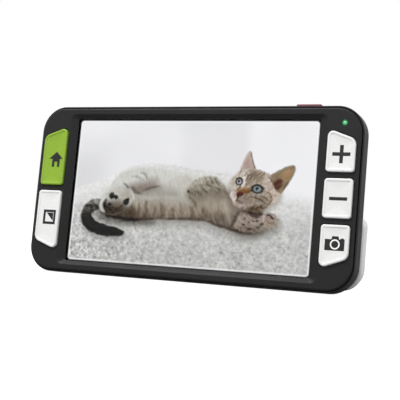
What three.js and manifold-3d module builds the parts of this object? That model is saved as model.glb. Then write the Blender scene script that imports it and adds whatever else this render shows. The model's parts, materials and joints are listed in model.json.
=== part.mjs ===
// Hand-held video magnifier with a 5 inch screen, standing on its rear stand.
//
// Everything is drawn in the device's own frame, in millimetres: X to the right, Z up the screen, Y from
// the front face (Y = 0) to the back. The device group then leans back on its open stand, and the assembly is
// moved so that the origin is the bottom centre of the whole object, with +Z up from the table.

import * as THREE from "three";
import { mergeVertices } from "three/addons/utils/BufferGeometryUtils.js";
import Module from "manifold-3d";

const wasm = await Module();
wasm.setup();

// ---------------------------------------------------------------- driving dimensions

const LEAN_DEG = 5.5; // the device leans back this far when it stands

const BODY = { halfW: 74, halfH: 36.9, r: 11.3, depth: 12, wall: 1.8 };
const REAR_ROUND = { side: 3.6, deep: 5.2 }; // the rounded back edge: how far in, and how far along Y
const LIP = { front: 1.0, thick: 0.55, end: 2.4 }; // the rear cover's lip round the front cover
const GROOVE = 0.35; // dark line between the lip and the front cover

const COVER = { thick: 1.8, round: 0.8, skirtGap: 0.4, skirt: 1.0, skirtEnd: 4.4 };
const SCREEN = { halfW: 55.35, halfH: 31.13, margin: 0.5 }; // 5 inch, 16:9 picture, and its black border
const WINDOW = { r: 1.0, bevelHalfW: 59.05, bevelHalfH: 33.35, bevelR: 2.2, depth: 1.5 };

const HUMP = { halfW: 65.5, top: 27.4, bottom: -4.6, r: 8, back: 18.1, edge: 1.6 };

const KEY = { inner: 59.85, outer: 71.25, r: 1.3, gap: 0.3, proud: 1.0 };
const KEY_FLANGE = { out: 0.6, y: 2.1, thick: 0.8 }; // it holds the key behind the front cover
const CORNER_KEY = { innerZ: 27.4, innerR: 2.1, outerZ: 23.3, outerR: 3.4 }; // its end slants outwards
const KEY_BAR = { left: 0, right: 9.05, half: 1.3 }; // the bars between keys: centres, and half their width
const PAD = { dome: 3.8, top: 4.5, back: 5.1, pill: 5.4, halfX: 5.8, halfZ: 27.2 };
const KEY_BOARD = { front: 5.7, back: 6.7 };

const POWER = { x: 49, halfX: 5.3, y: 7.2, halfY: 1.35, top: 38.8, flange: 0.6, foot: [34, 34.8] };
const STATUS = { x: 66.15, z: 29.9, r: 1.05 };

const AXIS = { y: 15.3, z: -8.2 }; // the stand's hinge line, along X
const STAND = {
  half: 2.8, // half its thickness, and the radius of its rounded top edge
  topHalfW: 74,
  footHalfW: 71.7,
  foot: -35.8,
  rTop: 4,
  rFoot: 9,
  edge: 1.2,
};
const FOOT = { r: 1.5, z: -35.2, halfX: 58 };
const LUG = { x: 50, half: 4, r: 2.6, notch: 5.2, notchFloor: -12.4 };
const PIN = { r: 1.1, half: 9, bore: 1.4 };
const WASHER = { r: 2.4, thick: 0.6, gap: 0.3 };
const POCKET = { halfW: 65.6, foot: -32.6, top: -13.2, r: 4.3, deep: 1.7 }; // in the stand's inner face
const LINER = { gap: 0.3, front: 0.1, back: 1.5 };
const STAND_PAD = { x: 54, z: -25, halfX: 6, halfZ: 2, r: 1.9, sunk: 0.6, proud: 0.9, gap: 0.3 };
const REAR_FOOT = { x: 54, z: 21.5, halfX: 5, halfZ: 2, r: 1.9, proud: 0.9 };

const STACK = {
  gasket: [1.9, 2.1],
  glass: [2.2, 3.0],
  panel: [3.1, 5.1],
  tray: [5.2, 5.9],
  board: [6.5, 7.5],
};
const CASE_SCREWS = [
  [-60.5, 30.7],
  [60.5, 30.7],
  [-60.5, -30.7],
  [60.5, -30.7],
];
const STAND_SCREWS = [
  [-61, -15.5],
  [61, -15.5],
  [-58, -30],
  [58, -30],
];
const PANEL = { halfW: 57.4, halfH: 33.1, r: 1.2 };
const BOARD = { halfW: 57, halfH: 29.5 };
const CAMERA = { x: 0, z: 12.5, hole: 5.6, recess: 7.4, window: 7.1 };
const LIGHT = { x: 15.5, halfX: 4.2, halfZ: 3.2 };
const SPEAKER = { x: 45, z: 12, r: 7, holes: 0.8, ring: 3.4 };
const PORT = { x: -28, y: 7.95, halfX: 4.6, halfY: 1.65, inner: 30.4, mouth: 36.1, wall: 0.3 };

const CORNER_STEPS = 4; // straight steps in each rounded corner
const ROUND = 20; // sides of a small cylinder
const EPS = 0.05;

// ---------------------------------------------------------------- outlines and solids

// A convex outline, anticlockwise, from corners [x, z, r]. `inset` moves every edge inwards.
function outline(corners, inset = 0, steps = CORNER_STEPS) {
  const n = corners.length;
  const edges = corners.map(([x0, z0], i) => {
    const [x1, z1] = corners[(i + 1) % n];
    const d = new THREE.Vector2(x1 - x0, z1 - z0).normalize();
    const inward = new THREE.Vector2(-d.y, d.x);
    return { p: new THREE.Vector2(x0, z0).addScaledVector(inward, inset), d, inward };
  });
  const points = [];
  corners.forEach(([, , r0], i) => {
    const before = edges[(i + n - 1) % n];
    const after = edges[i];
    const r = Math.max(r0 - inset, 0.05);
    const cross = before.d.x * after.d.y - before.d.y * after.d.x;
    const gap = after.p.clone().sub(before.p);
    const along = (gap.x * after.d.y - gap.y * after.d.x) / cross;
    const corner = before.p.clone().addScaledVector(before.d, along);
    const turn = Math.atan2(cross, before.d.dot(after.d));
    const centre = corner
      .clone()
      .addScaledVector(before.d, -r * Math.tan(turn / 2))
      .addScaledVector(before.inward, r);
    for (let k = 0; k <= steps; k++) {
      const a = Math.atan2(-before.inward.y, -before.inward.x) + (turn * k) / steps;
      points.push(new THREE.Vector2(centre.x + r * Math.cos(a), centre.y + r * Math.sin(a)));
    }
  });
  return points;
}

function rectangle(halfW, z0, z1, r, x = 0) {
  return [
    [x - halfW, z0, r],
    [x + halfW, z0, r],
    [x + halfW, z1, r],
    [x - halfW, z1, r],
  ];
}

// A closed solid through rings of the same outline: each ring is [y, inset].
function loft(corners, rings, steps = CORNER_STEPS) {
  const loops = rings.map(([y, inset]) => outline(corners, inset, steps).map((p) => [p.x, y, p.y]));
  const n = loops[0].length;
  const index = [];
  for (let j = 0; j < loops.length - 1; j++) {
    for (let i = 0; i < n; i++) {
      const a = j * n + i;
      const b = j * n + ((i + 1) % n);
      index.push(a, b, b + n, a, b + n, a + n);
    }
  }
  const last = (loops.length - 1) * n;
  for (let i = 1; i < n - 1; i++) {
    index.push(0, i + 1, i);
    index.push(last, last + i, last + i + 1);
  }
  const geometry = new THREE.BufferGeometry();
  geometry.setAttribute("position", new THREE.Float32BufferAttribute(loops.flat(2), 3));
  geometry.setIndex(index);
  return flip(geometry);
}

function flip(geometry) {
  const i = geometry.index.array;
  for (let k = 0; k < i.length; k += 3) [i[k + 1], i[k + 2]] = [i[k + 2], i[k + 1]];
  return geometry;
}

const slab = (corners, y0, y1, inset = 0, steps = CORNER_STEPS) =>
  loft(corners, [[y0, inset], [y1, inset]], steps);

function box(x0, x1, y0, y1, z0, z1) {
  const geometry = new THREE.BoxGeometry(x1 - x0, y1 - y0, z1 - z0);
  return geometry.translate((x0 + x1) / 2, (y0 + y1) / 2, (z0 + z1) / 2);
}

// A cylinder along Y, from y0 to y1.
function post(x, z, r, y0, y1, sides = ROUND) {
  return new THREE.CylinderGeometry(r, r, y1 - y0, sides).translate(x, (y0 + y1) / 2, z);
}

// A cylinder along X, from x0 to x1.
function rod(x0, x1, y, z, r, sides = ROUND) {
  const geometry = new THREE.CylinderGeometry(r, r, x1 - x0, sides).rotateZ(Math.PI / 2);
  return geometry.translate((x0 + x1) / 2, y, z);
}

// A turned piece about Y, from [radius, y] points.
function turned(x, z, profile, sides = ROUND) {
  return new THREE.LatheGeometry(
    profile.map(([r, y]) => new THREE.Vector2(r, y)),
    sides,
  ).translate(x, 0, z);
}

function solid(geometry) {
  const bare = new THREE.BufferGeometry();
  bare.setAttribute("position", geometry.getAttribute("position").clone());
  if (geometry.index) bare.setIndex(geometry.index.clone());
  const merged = mergeVertices(bare, 1e-4);
  return new wasm.Manifold(
    new wasm.Mesh({
      numProp: 3,
      vertProperties: merged.attributes.position.array,
      triVerts: new Uint32Array(merged.index.array),
    }),
  );
}

function shape(manifold) {
  const mesh = manifold.getMesh();
  const geometry = new THREE.BufferGeometry();
  geometry.setAttribute("position", new THREE.BufferAttribute(new Float32Array(mesh.vertProperties), 3));
  geometry.setIndex(new THREE.BufferAttribute(new Uint32Array(mesh.triVerts), 1));
  return geometry;
}

const cut = (base, ...tools) => shape(tools.reduce((s, t) => s.subtract(solid(t)), solid(base)));
const join = (base, ...more) => shape(more.reduce((s, t) => s.add(solid(t)), solid(base)));

// ---------------------------------------------------------------- materials and nodes

const finish = (color, roughness, metalness = 0, more = {}) =>
  new THREE.MeshStandardMaterial({ color, roughness, metalness, ...more });

const MATERIAL = {
  blackCase: finish(0x2a2a2b, 0.6),
  greyStand: finish(0xc9cacb, 0.5),
  greyLiner: finish(0xb4b6b8, 0.55),
  whiteKey: finish(0xf2f2f0, 0.35),
  greenKey: finish(0x93c01f, 0.4),
  redKey: finish(0xa3123a, 0.4),
  greenLight: finish(0x35d073, 0.3),
  glass: finish(0x11151a, 0.05, 0, { transparent: true, opacity: 0.35 }),
  picture: finish(0xd9d9d7, 0.4),
  steel: finish(0xb9bcc0, 0.3, 1),
  board: finish(0x1e5b38, 0.6),
  rubber: finish(0x1c1c1d, 0.85),
  foam: finish(0x26262a, 0.95),
  silicone: finish(0x8f9498, 0.75),
  blackPlastic: finish(0x151516, 0.45),
  battery: finish(0x9ba0a6, 0.35, 0.5),
  film: finish(0xb5691f, 0.4),
  emitter: finish(0xf2dc8a, 0.4),
  diffuser: finish(0xe9eef2, 0.3, 0, { transparent: true, opacity: 0.5 }),
};

function add(group, name, geometry, material) {
  const mesh = new THREE.Mesh(geometry, material);
  mesh.name = name;
  group.add(mesh);
}

// ---------------------------------------------------------------- keys

const mirrorX = (corners) => corners.map(([x, z, r]) => [-x, z, r]).reverse();
const mirrorZ = (corners) => corners.map(([x, z, r]) => [x, -z, r]).reverse();

// The key at the top of the right column, from `bottom` up.
function cornerKey(bottom) {
  return [
    [KEY.inner, bottom, KEY.r],
    [KEY.outer, bottom, KEY.r],
    [KEY.outer, CORNER_KEY.outerZ, CORNER_KEY.outerR],
    [KEY.inner, CORNER_KEY.innerZ, CORNER_KEY.innerR],
  ];
}

const KEY_X = (KEY.inner + KEY.outer) / 2;
const leftKey = cornerKey(KEY_BAR.left + KEY_BAR.half);
const rightKey = cornerKey(KEY_BAR.right + KEY_BAR.half);
const middleZ = KEY_BAR.right - KEY_BAR.half;
const middleKey = rectangle((KEY.outer - KEY.inner) / 2, -middleZ, middleZ, KEY.r, KEY_X);

const KEYS = {
  home_button: { outline: mirrorX(leftKey), material: MATERIAL.greenKey },
  contrast_button: { outline: mirrorZ(mirrorX(leftKey)), material: MATERIAL.whiteKey },
  zoom_in_button: { outline: rightKey, material: MATERIAL.whiteKey },
  zoom_out_button: { outline: middleKey, material: MATERIAL.whiteKey },
  camera_button: { outline: mirrorZ(rightKey), material: MATERIAL.whiteKey },
};

function keyCap(corners) {
  const { proud } = KEY;
  const { out, y, thick } = KEY_FLANGE;
  return loft(corners, [
    [-proud, 0.75],
    [-proud * 0.65, 0.2],
    [-proud * 0.2, 0],
    [y, 0],
    [y, -out],
    [y + thick, -out],
  ]);
}

// Centre of each key, for its dome.
const keyCentre = (corners) => {
  const box2 = new THREE.Box2().setFromPoints(corners.map(([x, z]) => new THREE.Vector2(x, z)));
  return box2.getCenter(new THREE.Vector2());
};

function keyPad(side, names) {
  const base = slab(rectangle(PAD.halfX, -PAD.halfZ, PAD.halfZ, 2, side * KEY_X), PAD.top, PAD.back);
  const domes = names.flatMap((name) => {
    const c = keyCentre(KEYS[name].outline);
    const dome = [
      [0, PAD.dome],
      [1.8, PAD.dome],
      [3, PAD.top + EPS],
      [0, PAD.top + EPS],
    ];
    return [turned(c.x, c.y, dome), post(c.x, c.y, 1.6, PAD.back - EPS, PAD.pill)];
  });
  return join(base, ...domes);
}

function powerKey() {
  const { x, y, halfX, halfY, top, flange, foot } = POWER;
  const outX = halfX + flange;
  const outY = halfY + flange;
  const cap = box(x - halfX, x + halfX, y - halfY, y + halfY, foot[0] + EPS, top);
  return join(cap, box(x - outX, x + outX, y - outY, y + outY, ...foot));
}

// ---------------------------------------------------------------- covers

const CASE = rectangle(BODY.halfW, -BODY.halfH, BODY.halfH, BODY.r);
const COVER_INSET = LIP.thick + GROOVE;
const SKIRT_INSET = BODY.wall + COVER.skirtGap;

function frontCover() {
  const { thick, round, skirt, skirtEnd } = COVER;
  const plate = loft(CASE, [
    [0, COVER_INSET + round],
    [round * 0.3, COVER_INSET + round * 0.3],
    [round, COVER_INSET],
    [thick, COVER_INSET],
  ]);
  // A skirt locates the cover inside the rear cover. It stops at the key columns.
  const columns = [-1, 1].map((side) => slab(rectangle(8, -28.4, 28.4, 2, side * 67), thick, skirtEnd + 1));
  const ring = cut(
    slab(CASE, thick - EPS, skirtEnd, SKIRT_INSET),
    slab(CASE, thick - 1, skirtEnd + 1, SKIRT_INSET + skirt),
    ...columns,
  );
  const bosses = CASE_SCREWS.map(([x, z]) => post(x, z, 2.2, thick - EPS, 9.9));
  const { bevelHalfW, bevelHalfH, bevelR, r, depth } = WINDOW;
  const halfW = SCREEN.halfW + SCREEN.margin;
  const halfH = SCREEN.halfH + SCREEN.margin;
  const windowCorners = rectangle(halfW, -halfH, halfH, r);
  const bevelCorners = rectangle(bevelHalfW, -bevelHalfH, bevelHalfH, bevelR);
  const bevel = loftBetween(bevelCorners, -EPS, windowCorners, depth);
  const opening = slab(windowCorners, depth - 1, 3);
  const keyHoles = Object.values(KEYS).map(({ outline: o }) => slab(o, -1, 3, -KEY.gap));
  const pilots = CASE_SCREWS.map(([x, z]) => post(x, z, 1.2, 3, 11));
  const statusHole = post(STATUS.x, STATUS.z, STATUS.r + 0.25, -1, 3);
  return cut(join(plate, ring, ...bosses), bevel, opening, ...keyHoles, ...pilots, statusHole);
}

// A closed solid between two outlines with the same number of corners.
function loftBetween(cornersA, yA, cornersB, yB) {
  const a = loft(cornersA, [[yA, 0], [yB, 0]]);
  const b = outline(cornersB);
  const p = a.getAttribute("position");
  b.forEach((point, i) => p.setXYZ(b.length + i, point.x, yB, point.y));
  return a;
}

function rearCover() {
  const { depth, wall } = BODY;
  const { side, deep } = REAR_ROUND;
  const start = depth - deep;
  const roundSteps = [0.35, 0.65, 0.9].map((s) => (s * Math.PI) / 2);
  const backEdge = roundSteps.map((a) => [start + deep * Math.sin(a), side * (1 - Math.cos(a))]);
  const lipEdge = [[LIP.front, 0.35], [LIP.front + 0.45, 0]];
  const tub = loft(CASE, [...lipEdge, [start, 0], ...backEdge, [depth, side]]);
  const humpCorners = rectangle(HUMP.halfW, HUMP.bottom, HUMP.top, HUMP.r);
  const hump = loft(humpCorners, [
    [depth - 1, 0],
    [HUMP.back - HUMP.edge, 0],
    [HUMP.back - HUMP.edge * 0.3, HUMP.edge * 0.3],
    [HUMP.back, HUMP.edge],
  ]);
  const lugs = [-LUG.x, LUG.x].map(hingeLug);
  const lipRoom = slab(CASE, LIP.front - 1, LIP.end, LIP.thick);
  const room = slab(CASE, LIP.end - 1, depth - wall, wall);
  const humpRoom = slab(humpCorners, depth - wall - 1, HUMP.back - wall, wall);
  return cut(join(tub, hump, ...lugs), lipRoom, room, humpRoom, ...rearHoles());
}

// A lug hangs from the hump's lower wall, round the hinge line.
function hingeLug(x) {
  const knuckle = rod(x - LUG.half, x + LUG.half, AXIS.y, AXIS.z, LUG.r);
  const neckBack = AXIS.y + LUG.r * 0.6;
  const neck = box(x - LUG.half, x + LUG.half, AXIS.y - LUG.r, neckBack, AXIS.z, HUMP.bottom + 1);
  return join(knuckle, neck);
}

// The charging port is drawn lying along Y, then turned to point up.
const portOutline = rectangle(PORT.halfX, -PORT.halfY, PORT.halfY, 1.45);
const upright = (geometry) => geometry.rotateX(Math.PI / 2).translate(PORT.x, PORT.y, 0);

const lightOutline = (x) => rectangle(LIGHT.halfX, CAMERA.z - LIGHT.halfZ, CAMERA.z + LIGHT.halfZ, 1.4, x);
const padOutline = (pad, sign, grow = 0) => {
  const halfZ = pad.halfZ + grow;
  return rectangle(pad.halfX + grow, pad.z - halfZ, pad.z + halfZ, pad.r + grow, sign * pad.x);
};

function rearHoles() {
  const { depth, wall } = BODY;
  const { x, y, halfX, halfY } = POWER;
  const back = HUMP.back;
  const g = KEY.gap;
  const screws = CASE_SCREWS.flatMap(([sx, sz]) => [
    post(sx, sz, 1.3, depth - wall - 1, depth + 1),
    post(sx, sz, 2.1, depth - 1.1, depth + 1),
  ]);
  const pins = [-LUG.x, LUG.x].map((px) => rod(px - 6, px + 6, AXIS.y, AXIS.z, PIN.bore));
  const powerSlot = box(x - halfX - g, x + halfX + g, y - halfY - g, y + halfY + g, 34, 38);
  const camera = [
    post(CAMERA.x, CAMERA.z, CAMERA.hole, back - wall - 1, back + 1, 32),
    post(CAMERA.x, CAMERA.z, CAMERA.recess, back - 1.2, back + 1, 32),
  ];
  const lights = [-LIGHT.x, LIGHT.x].map((lx) => slab(lightOutline(lx), back - wall - 1, back + 1, -0.3));
  const grille = Array.from({ length: 7 }, (_, i) => {
    const ring = i < 6 ? SPEAKER.ring : 0; // six holes round a middle one
    const a = (i * Math.PI) / 3;
    const gx = SPEAKER.x + ring * Math.cos(a);
    const gz = SPEAKER.z + ring * Math.sin(a);
    return post(gx, gz, SPEAKER.holes, back - wall - 1, back + 1, 10);
  });
  const portHole = upright(slab(portOutline, BODY.halfH - wall - 1, BODY.halfH + 1, -0.3));
  return [...screws, ...pins, powerSlot, ...camera, ...lights, ...grille, portHole];
}

// ---------------------------------------------------------------- screen and electronics

function buildScreen(group) {
  const { halfW, halfH, r } = PANEL;
  const panel = rectangle(halfW, -halfH, halfH, r);
  const gasket = rectangle(halfW + 0.2, -halfH - 0.2, halfH + 0.2, r + 0.2);
  const [g0, g1] = STACK.gasket;
  const gasketRing = cut(slab(gasket, g0, g1), slab(gasket, g0 - 1, g1 + 1, 1));
  add(group, "screen_gasket", gasketRing, MATERIAL.foam);
  add(group, "screen_glass", slab(panel, ...STACK.glass), MATERIAL.glass);
  add(group, "display_panel", slab(panel, ...STACK.panel), MATERIAL.picture);
  const tray = cut(
    slab(panel, ...STACK.tray, -0.1),
    slab(rectangle(20, -20, 20, 3), STACK.tray[0] - 1, STACK.tray[1] + 1),
  );
  add(group, "display_tray", tray, MATERIAL.steel);
  const [y0] = STACK.board;
  const ribbon = box(-9, 9, STACK.tray[1] + 0.15, y0 - 0.15, -32, 6);
  add(group, "display_ribbon", ribbon, MATERIAL.film);
}

function buildElectronics(group) {
  const [b0, b1] = STACK.board;
  const mainBoard = cut(
    box(-BOARD.halfW, BOARD.halfW, b0, b1, -BOARD.halfH, BOARD.halfH),
    ...CASE_SCREWS.map(([x, z]) => post(x * 0.95, z * 0.95, 3.4, b0 - 1, b1 + 1)),
  );
  add(group, "main_board", mainBoard, MATERIAL.board);
  add(group, "processor_shield", box(20, 36, b1 + 0.2, b1 + 2.2, -1.5, 24), MATERIAL.steel);
  const battery = slab(rectangle(16.5, -1.2, 24.4, 1.5, -43.5), 9.6, 15.4);
  add(group, "battery_pack", battery, MATERIAL.battery);
  add(group, "speaker", speaker(), MATERIAL.blackPlastic);
  add(group, "charging_port", chargingPort(), MATERIAL.steel);
  const stemTop = b1 + 0.3;
  const powerSwitch = join(
    box(POWER.x - 2.6, POWER.x + 2.6, stemTop, stemTop + 2.1, 22.4, 26.2),
    box(POWER.x - 1.3, POWER.x + 1.3, stemTop, stemTop + 1, 26, 32.6),
  );
  add(group, "power_switch", powerSwitch, MATERIAL.blackPlastic);
}

function speaker() {
  const { x, z, r } = SPEAKER;
  const y = HUMP.back - BODY.wall - 0.3;
  return turned(x, z, [
    [0, y - 3.4],
    [r * 0.6, y - 3.4],
    [r, y - 2.2],
    [r, y],
    [r - 1, y],
    [r - 1.6, y - 0.7],
    [0, y - 0.7],
  ], 24);
}

// A metal shell with its mouth in the top edge of the case, and a tongue inside.
function chargingPort() {
  const { inner, mouth, wall } = PORT;
  const shell = cut(slab(portOutline, inner, mouth), slab(portOutline, inner + 0.8, mouth + 1, wall));
  const tongue = upright(box(-3.3, 3.3, inner + 0.5, mouth - 1.2, -0.35, 0.35));
  return join(upright(shell), tongue);
}

function buildCamera(group) {
  const { x, z } = CAMERA;
  const y = STACK.board[1] + 0.3;
  add(group, "camera_board", box(x - 8, x + 8, y, y + 0.8, z - 8, z + 8), MATERIAL.board);
  const holder = cut(
    box(x - 6.6, x + 6.6, y + 1.1, 14.4, z - 6.6, z + 6.6),
    post(x, z, 4.6, y + 1.9, 15),
    post(x, z, 3, y + 1, y + 2.5),
  );
  add(group, "camera_holder", holder, MATERIAL.blackPlastic);
  const barrel = turned(x, z, [
    [2.5, 10.9],
    [4.3, 10.9],
    [4.3, 15.4],
    [3.7, 15.8],
    [2.9, 14.9],
    [2.5, 13.2],
    [2.5, 10.9],
  ]);
  add(group, "camera_barrel", barrel, MATERIAL.blackPlastic);
  const lens = turned(x, z, [
    [0, 11.6],
    [2.2, 11.9],
    [2.2, 12.9],
    [1.2, 13.4],
    [0, 13.6],
  ]);
  add(group, "camera_lens", lens, MATERIAL.glass);
  const back = HUMP.back;
  add(group, "camera_window", post(x, z, CAMERA.window, back - 1.1, back - 0.2, 32), MATERIAL.glass);

  const lightBoard = cut(
    slab(rectangle(21, z - 8.6, z + 8.6, 1.5), 12.4, 13.2),
    box(x - 6.9, x + 6.9, 12, 14, z - 6.9, z + 6.9),
  );
  add(group, "light_board", lightBoard, MATERIAL.board);
  for (const [side, sign] of [["left", -1], ["right", 1]]) {
    const lx = sign * LIGHT.x;
    const emitter = box(lx - 1.8, lx + 1.8, 13.4, 14.4, z - 1.8, z + 1.8);
    add(group, `light_emitter_${side}`, emitter, MATERIAL.emitter);
    const light = loft(lightOutline(lx), [[back - 2.2, 0], [back - 0.5, 0], [back - 0.2, 0.4]]);
    add(group, `light_window_${side}`, light, MATERIAL.diffuser);
  }
}

function buildKeys(group) {
  for (const [name, { outline: o, material }] of Object.entries(KEYS)) {
    add(group, name, keyCap(o), material);
  }
  const columns = {
    left: [-1, ["home_button", "contrast_button"]],
    right: [1, ["zoom_in_button", "zoom_out_button", "camera_button"]],
  };
  for (const [side, [sign, names]] of Object.entries(columns)) {
    add(group, `key_pad_${side}`, keyPad(sign, names), MATERIAL.silicone);
    add(group, `key_board_${side}`, keyBoard(sign), MATERIAL.board);
  }
  add(group, "power_button", powerKey(), MATERIAL.redKey);
  const pipe = turned(STATUS.x, STATUS.z, [
    [0, -0.25],
    [STATUS.r * 0.7, -0.1],
    [STATUS.r, 0.2],
    [STATUS.r, 4.2],
    [0, 4.2],
  ]);
  add(group, "status_light_pipe", pipe, MATERIAL.greenLight);
  const led = box(STATUS.x - 0.8, STATUS.x + 0.8, 4.5, 5.4, STATUS.z - 0.8, STATUS.z + 0.8);
  add(group, "status_led", led, MATERIAL.emitter);
}

// The right board has a tab that carries the status LED.
function keyBoard(sign) {
  const { front, back } = KEY_BOARD;
  const x = sign * KEY_X;
  const board = box(x - PAD.halfX, x + PAD.halfX, front, back, -PAD.halfZ, PAD.halfZ);
  if (sign < 0) return board;
  return join(board, box(STATUS.x - 1.6, STATUS.x + 1.6, front, back, PAD.halfZ - 1, STATUS.z + 1.5));
}

// ---------------------------------------------------------------- fasteners and feet

function screw(x, z, head, seat, tip, rHead, rShank) {
  return turned(x, z, [
    [0, tip],
    [rShank * 0.6, tip],
    [rShank, tip + rShank],
    [rShank, seat],
    [rHead, seat],
    [rHead, head - 0.25],
    [rHead - 0.3, head],
    [0.7, head],
    [0.7, head - 0.4],
    [0, head - 0.4],
  ], 12);
}

function buildFasteners(group) {
  const seat = BODY.depth - 1.1;
  CASE_SCREWS.forEach(([x, z], i) => {
    const part = screw(x, z, BODY.depth - 0.15, seat + 0.1, 4, 1.8, 0.9);
    add(group, `case_screw_${i + 1}`, part, MATERIAL.steel);
  });
  for (const [side, sign] of [["left", -1], ["right", 1]]) {
    const foot = slab(padOutline(REAR_FOOT, sign), HUMP.back + 0.1, HUMP.back + REAR_FOOT.proud);
    add(group, `rear_foot_${side}`, foot, MATERIAL.rubber);
  }
}

// ---------------------------------------------------------------- stand

const STAND_CORNERS = [
  [-STAND.footHalfW, STAND.foot, STAND.rFoot],
  [STAND.footHalfW, STAND.foot, STAND.rFoot],
  [STAND.topHalfW, AXIS.z + STAND.half, STAND.rTop],
  [-STAND.topHalfW, AXIS.z + STAND.half, STAND.rTop],
];

function standShell() {
  const { half, edge } = STAND;
  const front = AXIS.y - half;
  const back = AXIS.y + half;
  const plate = loft(STAND_CORNERS, [
    [front, edge],
    [front + edge * 0.3, edge * 0.3],
    [front + edge, 0],
    [back - edge, 0],
    [back - edge * 0.3, edge * 0.3],
    [back, edge],
  ]);
  // The top edge is rounded about the hinge line, so that it turns clear of the case.
  const topRound = cut(
    box(-80, 80, front - 1, back + 1, AXIS.z, AXIS.z + half + 1),
    rod(-81, 81, AXIS.y, AXIS.z, half, 32),
  );
  const notches = [-LUG.x, LUG.x].map((x) =>
    box(x - LUG.notch, x + LUG.notch, front - 1, back + 1, LUG.notchFloor, AXIS.z + half + 1),
  );
  const boreHalf = PIN.half + 0.4;
  const bores = [-LUG.x, LUG.x].map((x) => rod(x - boreHalf, x + boreHalf, AXIS.y, AXIS.z, PIN.bore));
  const { halfW, foot, top, r, deep } = POCKET;
  const pocket = slab(rectangle(halfW, foot, top, r), front - 1, front + deep);
  const screwHoles = STAND_SCREWS.map(([x, z]) => post(x, z, 1.1, front, AXIS.y + 0.9));
  const footGroove = rod(-FOOT.halfX - 0.3, FOOT.halfX + 0.3, AXIS.y, FOOT.z, FOOT.r + 0.3);
  const seatFloor = back - STAND_PAD.sunk - 0.1;
  const padSeats = [-1, 1].map((s) => slab(padOutline(STAND_PAD, s, STAND_PAD.gap), seatFloor, back + 1));
  return cut(plate, topRound, ...notches, ...bores, pocket, ...screwHoles, footGroove, ...padSeats);
}

function buildStand(group) {
  const { half } = STAND;
  const front = AXIS.y - half;
  const back = AXIS.y + half;
  add(group, "stand_shell", standShell(), MATERIAL.greyStand);
  const { halfW, foot, top, r } = POCKET;
  const liner = cut(
    slab(rectangle(halfW, foot, top, r), front + LINER.front, front + LINER.back, LINER.gap),
    ...STAND_SCREWS.flatMap(([x, z]) => [
      post(x, z, 1.1, front - 1, front + 3),
      post(x, z, 1.7, front - 1, front + 0.9),
    ]),
  );
  add(group, "stand_liner", liner, MATERIAL.greyLiner);
  const strip = rod(-FOOT.halfX, FOOT.halfX, AXIS.y, FOOT.z, FOOT.r, 24);
  add(group, "stand_foot_strip", strip, MATERIAL.rubber);
  for (const [side, sign] of [["left", -1], ["right", 1]]) {
    const x = sign * LUG.x;
    const pin = rod(x - PIN.half, x + PIN.half, AXIS.y, AXIS.z, PIN.r);
    add(group, `hinge_pin_${side}`, pin, MATERIAL.steel);
    const near = x + sign * (LUG.half + WASHER.gap);
    const ends = [near, near + sign * WASHER.thick].sort((a, b) => a - b);
    const washer = cut(
      rod(ends[0], ends[1], AXIS.y, AXIS.z, WASHER.r),
      rod(ends[0] - 1, ends[1] + 1, AXIS.y, AXIS.z, PIN.bore),
    );
    add(group, `hinge_washer_${side}`, washer, MATERIAL.steel);
    const pad = slab(padOutline(STAND_PAD, sign), back - STAND_PAD.sunk, back + STAND_PAD.proud);
    add(group, `stand_pad_${side}`, pad, MATERIAL.rubber);
  }
  STAND_SCREWS.forEach(([x, z], i) => {
    const part = screw(-x, z, -(front + 0.15), -(front + 0.8), -(front + 3.4), 1.45, 0.75);
    add(group, `stand_screw_${i + 1}`, part.rotateZ(Math.PI), MATERIAL.steel);
  });
}

// ---------------------------------------------------------------- assembly

const device = new THREE.Group();
device.rotation.x = -THREE.MathUtils.degToRad(LEAN_DEG);

const housing = new THREE.Group();
device.add(housing);
add(housing, "front_cover", frontCover(), MATERIAL.blackCase);
add(housing, "rear_cover", rearCover(), MATERIAL.blackCase);
buildScreen(housing);
buildElectronics(housing);
buildCamera(housing);
buildKeys(housing);
buildFasteners(housing);

// The stand turns about the hinge line until its foot strip reaches the table that the case stands on.
const table = new THREE.Box3().setFromObject(device, true).min.z;
const hinge = new THREE.Vector3(0, AXIS.y, AXIS.z).applyEuler(device.rotation);
const reach = AXIS.z - FOOT.z;
const openAngle = device.rotation.x * -1 + Math.acos((hinge.z - table - FOOT.r) / reach);

const stand = new THREE.Group();
stand.position.set(0, AXIS.y, AXIS.z);
stand.rotation.x = openAngle;
const standParts = new THREE.Group();
standParts.position.set(0, -AXIS.y, -AXIS.z);
stand.add(standParts);
device.add(stand);
buildStand(standParts);

// The origin is the bottom centre of the whole object.
const bounds = new THREE.Box3().setFromObject(device, true);
const centre = bounds.getCenter(new THREE.Vector3());
device.position.set(-centre.x, -centre.y, -bounds.min.z);

const videoMagnifier = new THREE.Group();
videoMagnifier.add(device);

export default videoMagnifier;
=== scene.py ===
"""The looks of the hand-held video magnifier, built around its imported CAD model.

Pieces are drawn in millimetres in the device's own frame: X to the right, Z up the screen, Y from the
front face to the back. place() then turns them into the row frame, in metres, where the device leans
back on its open stand.
"""

import json
import math

import bmesh
import bpy
import numpy as np
from mathutils import Matrix, Vector


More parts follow.
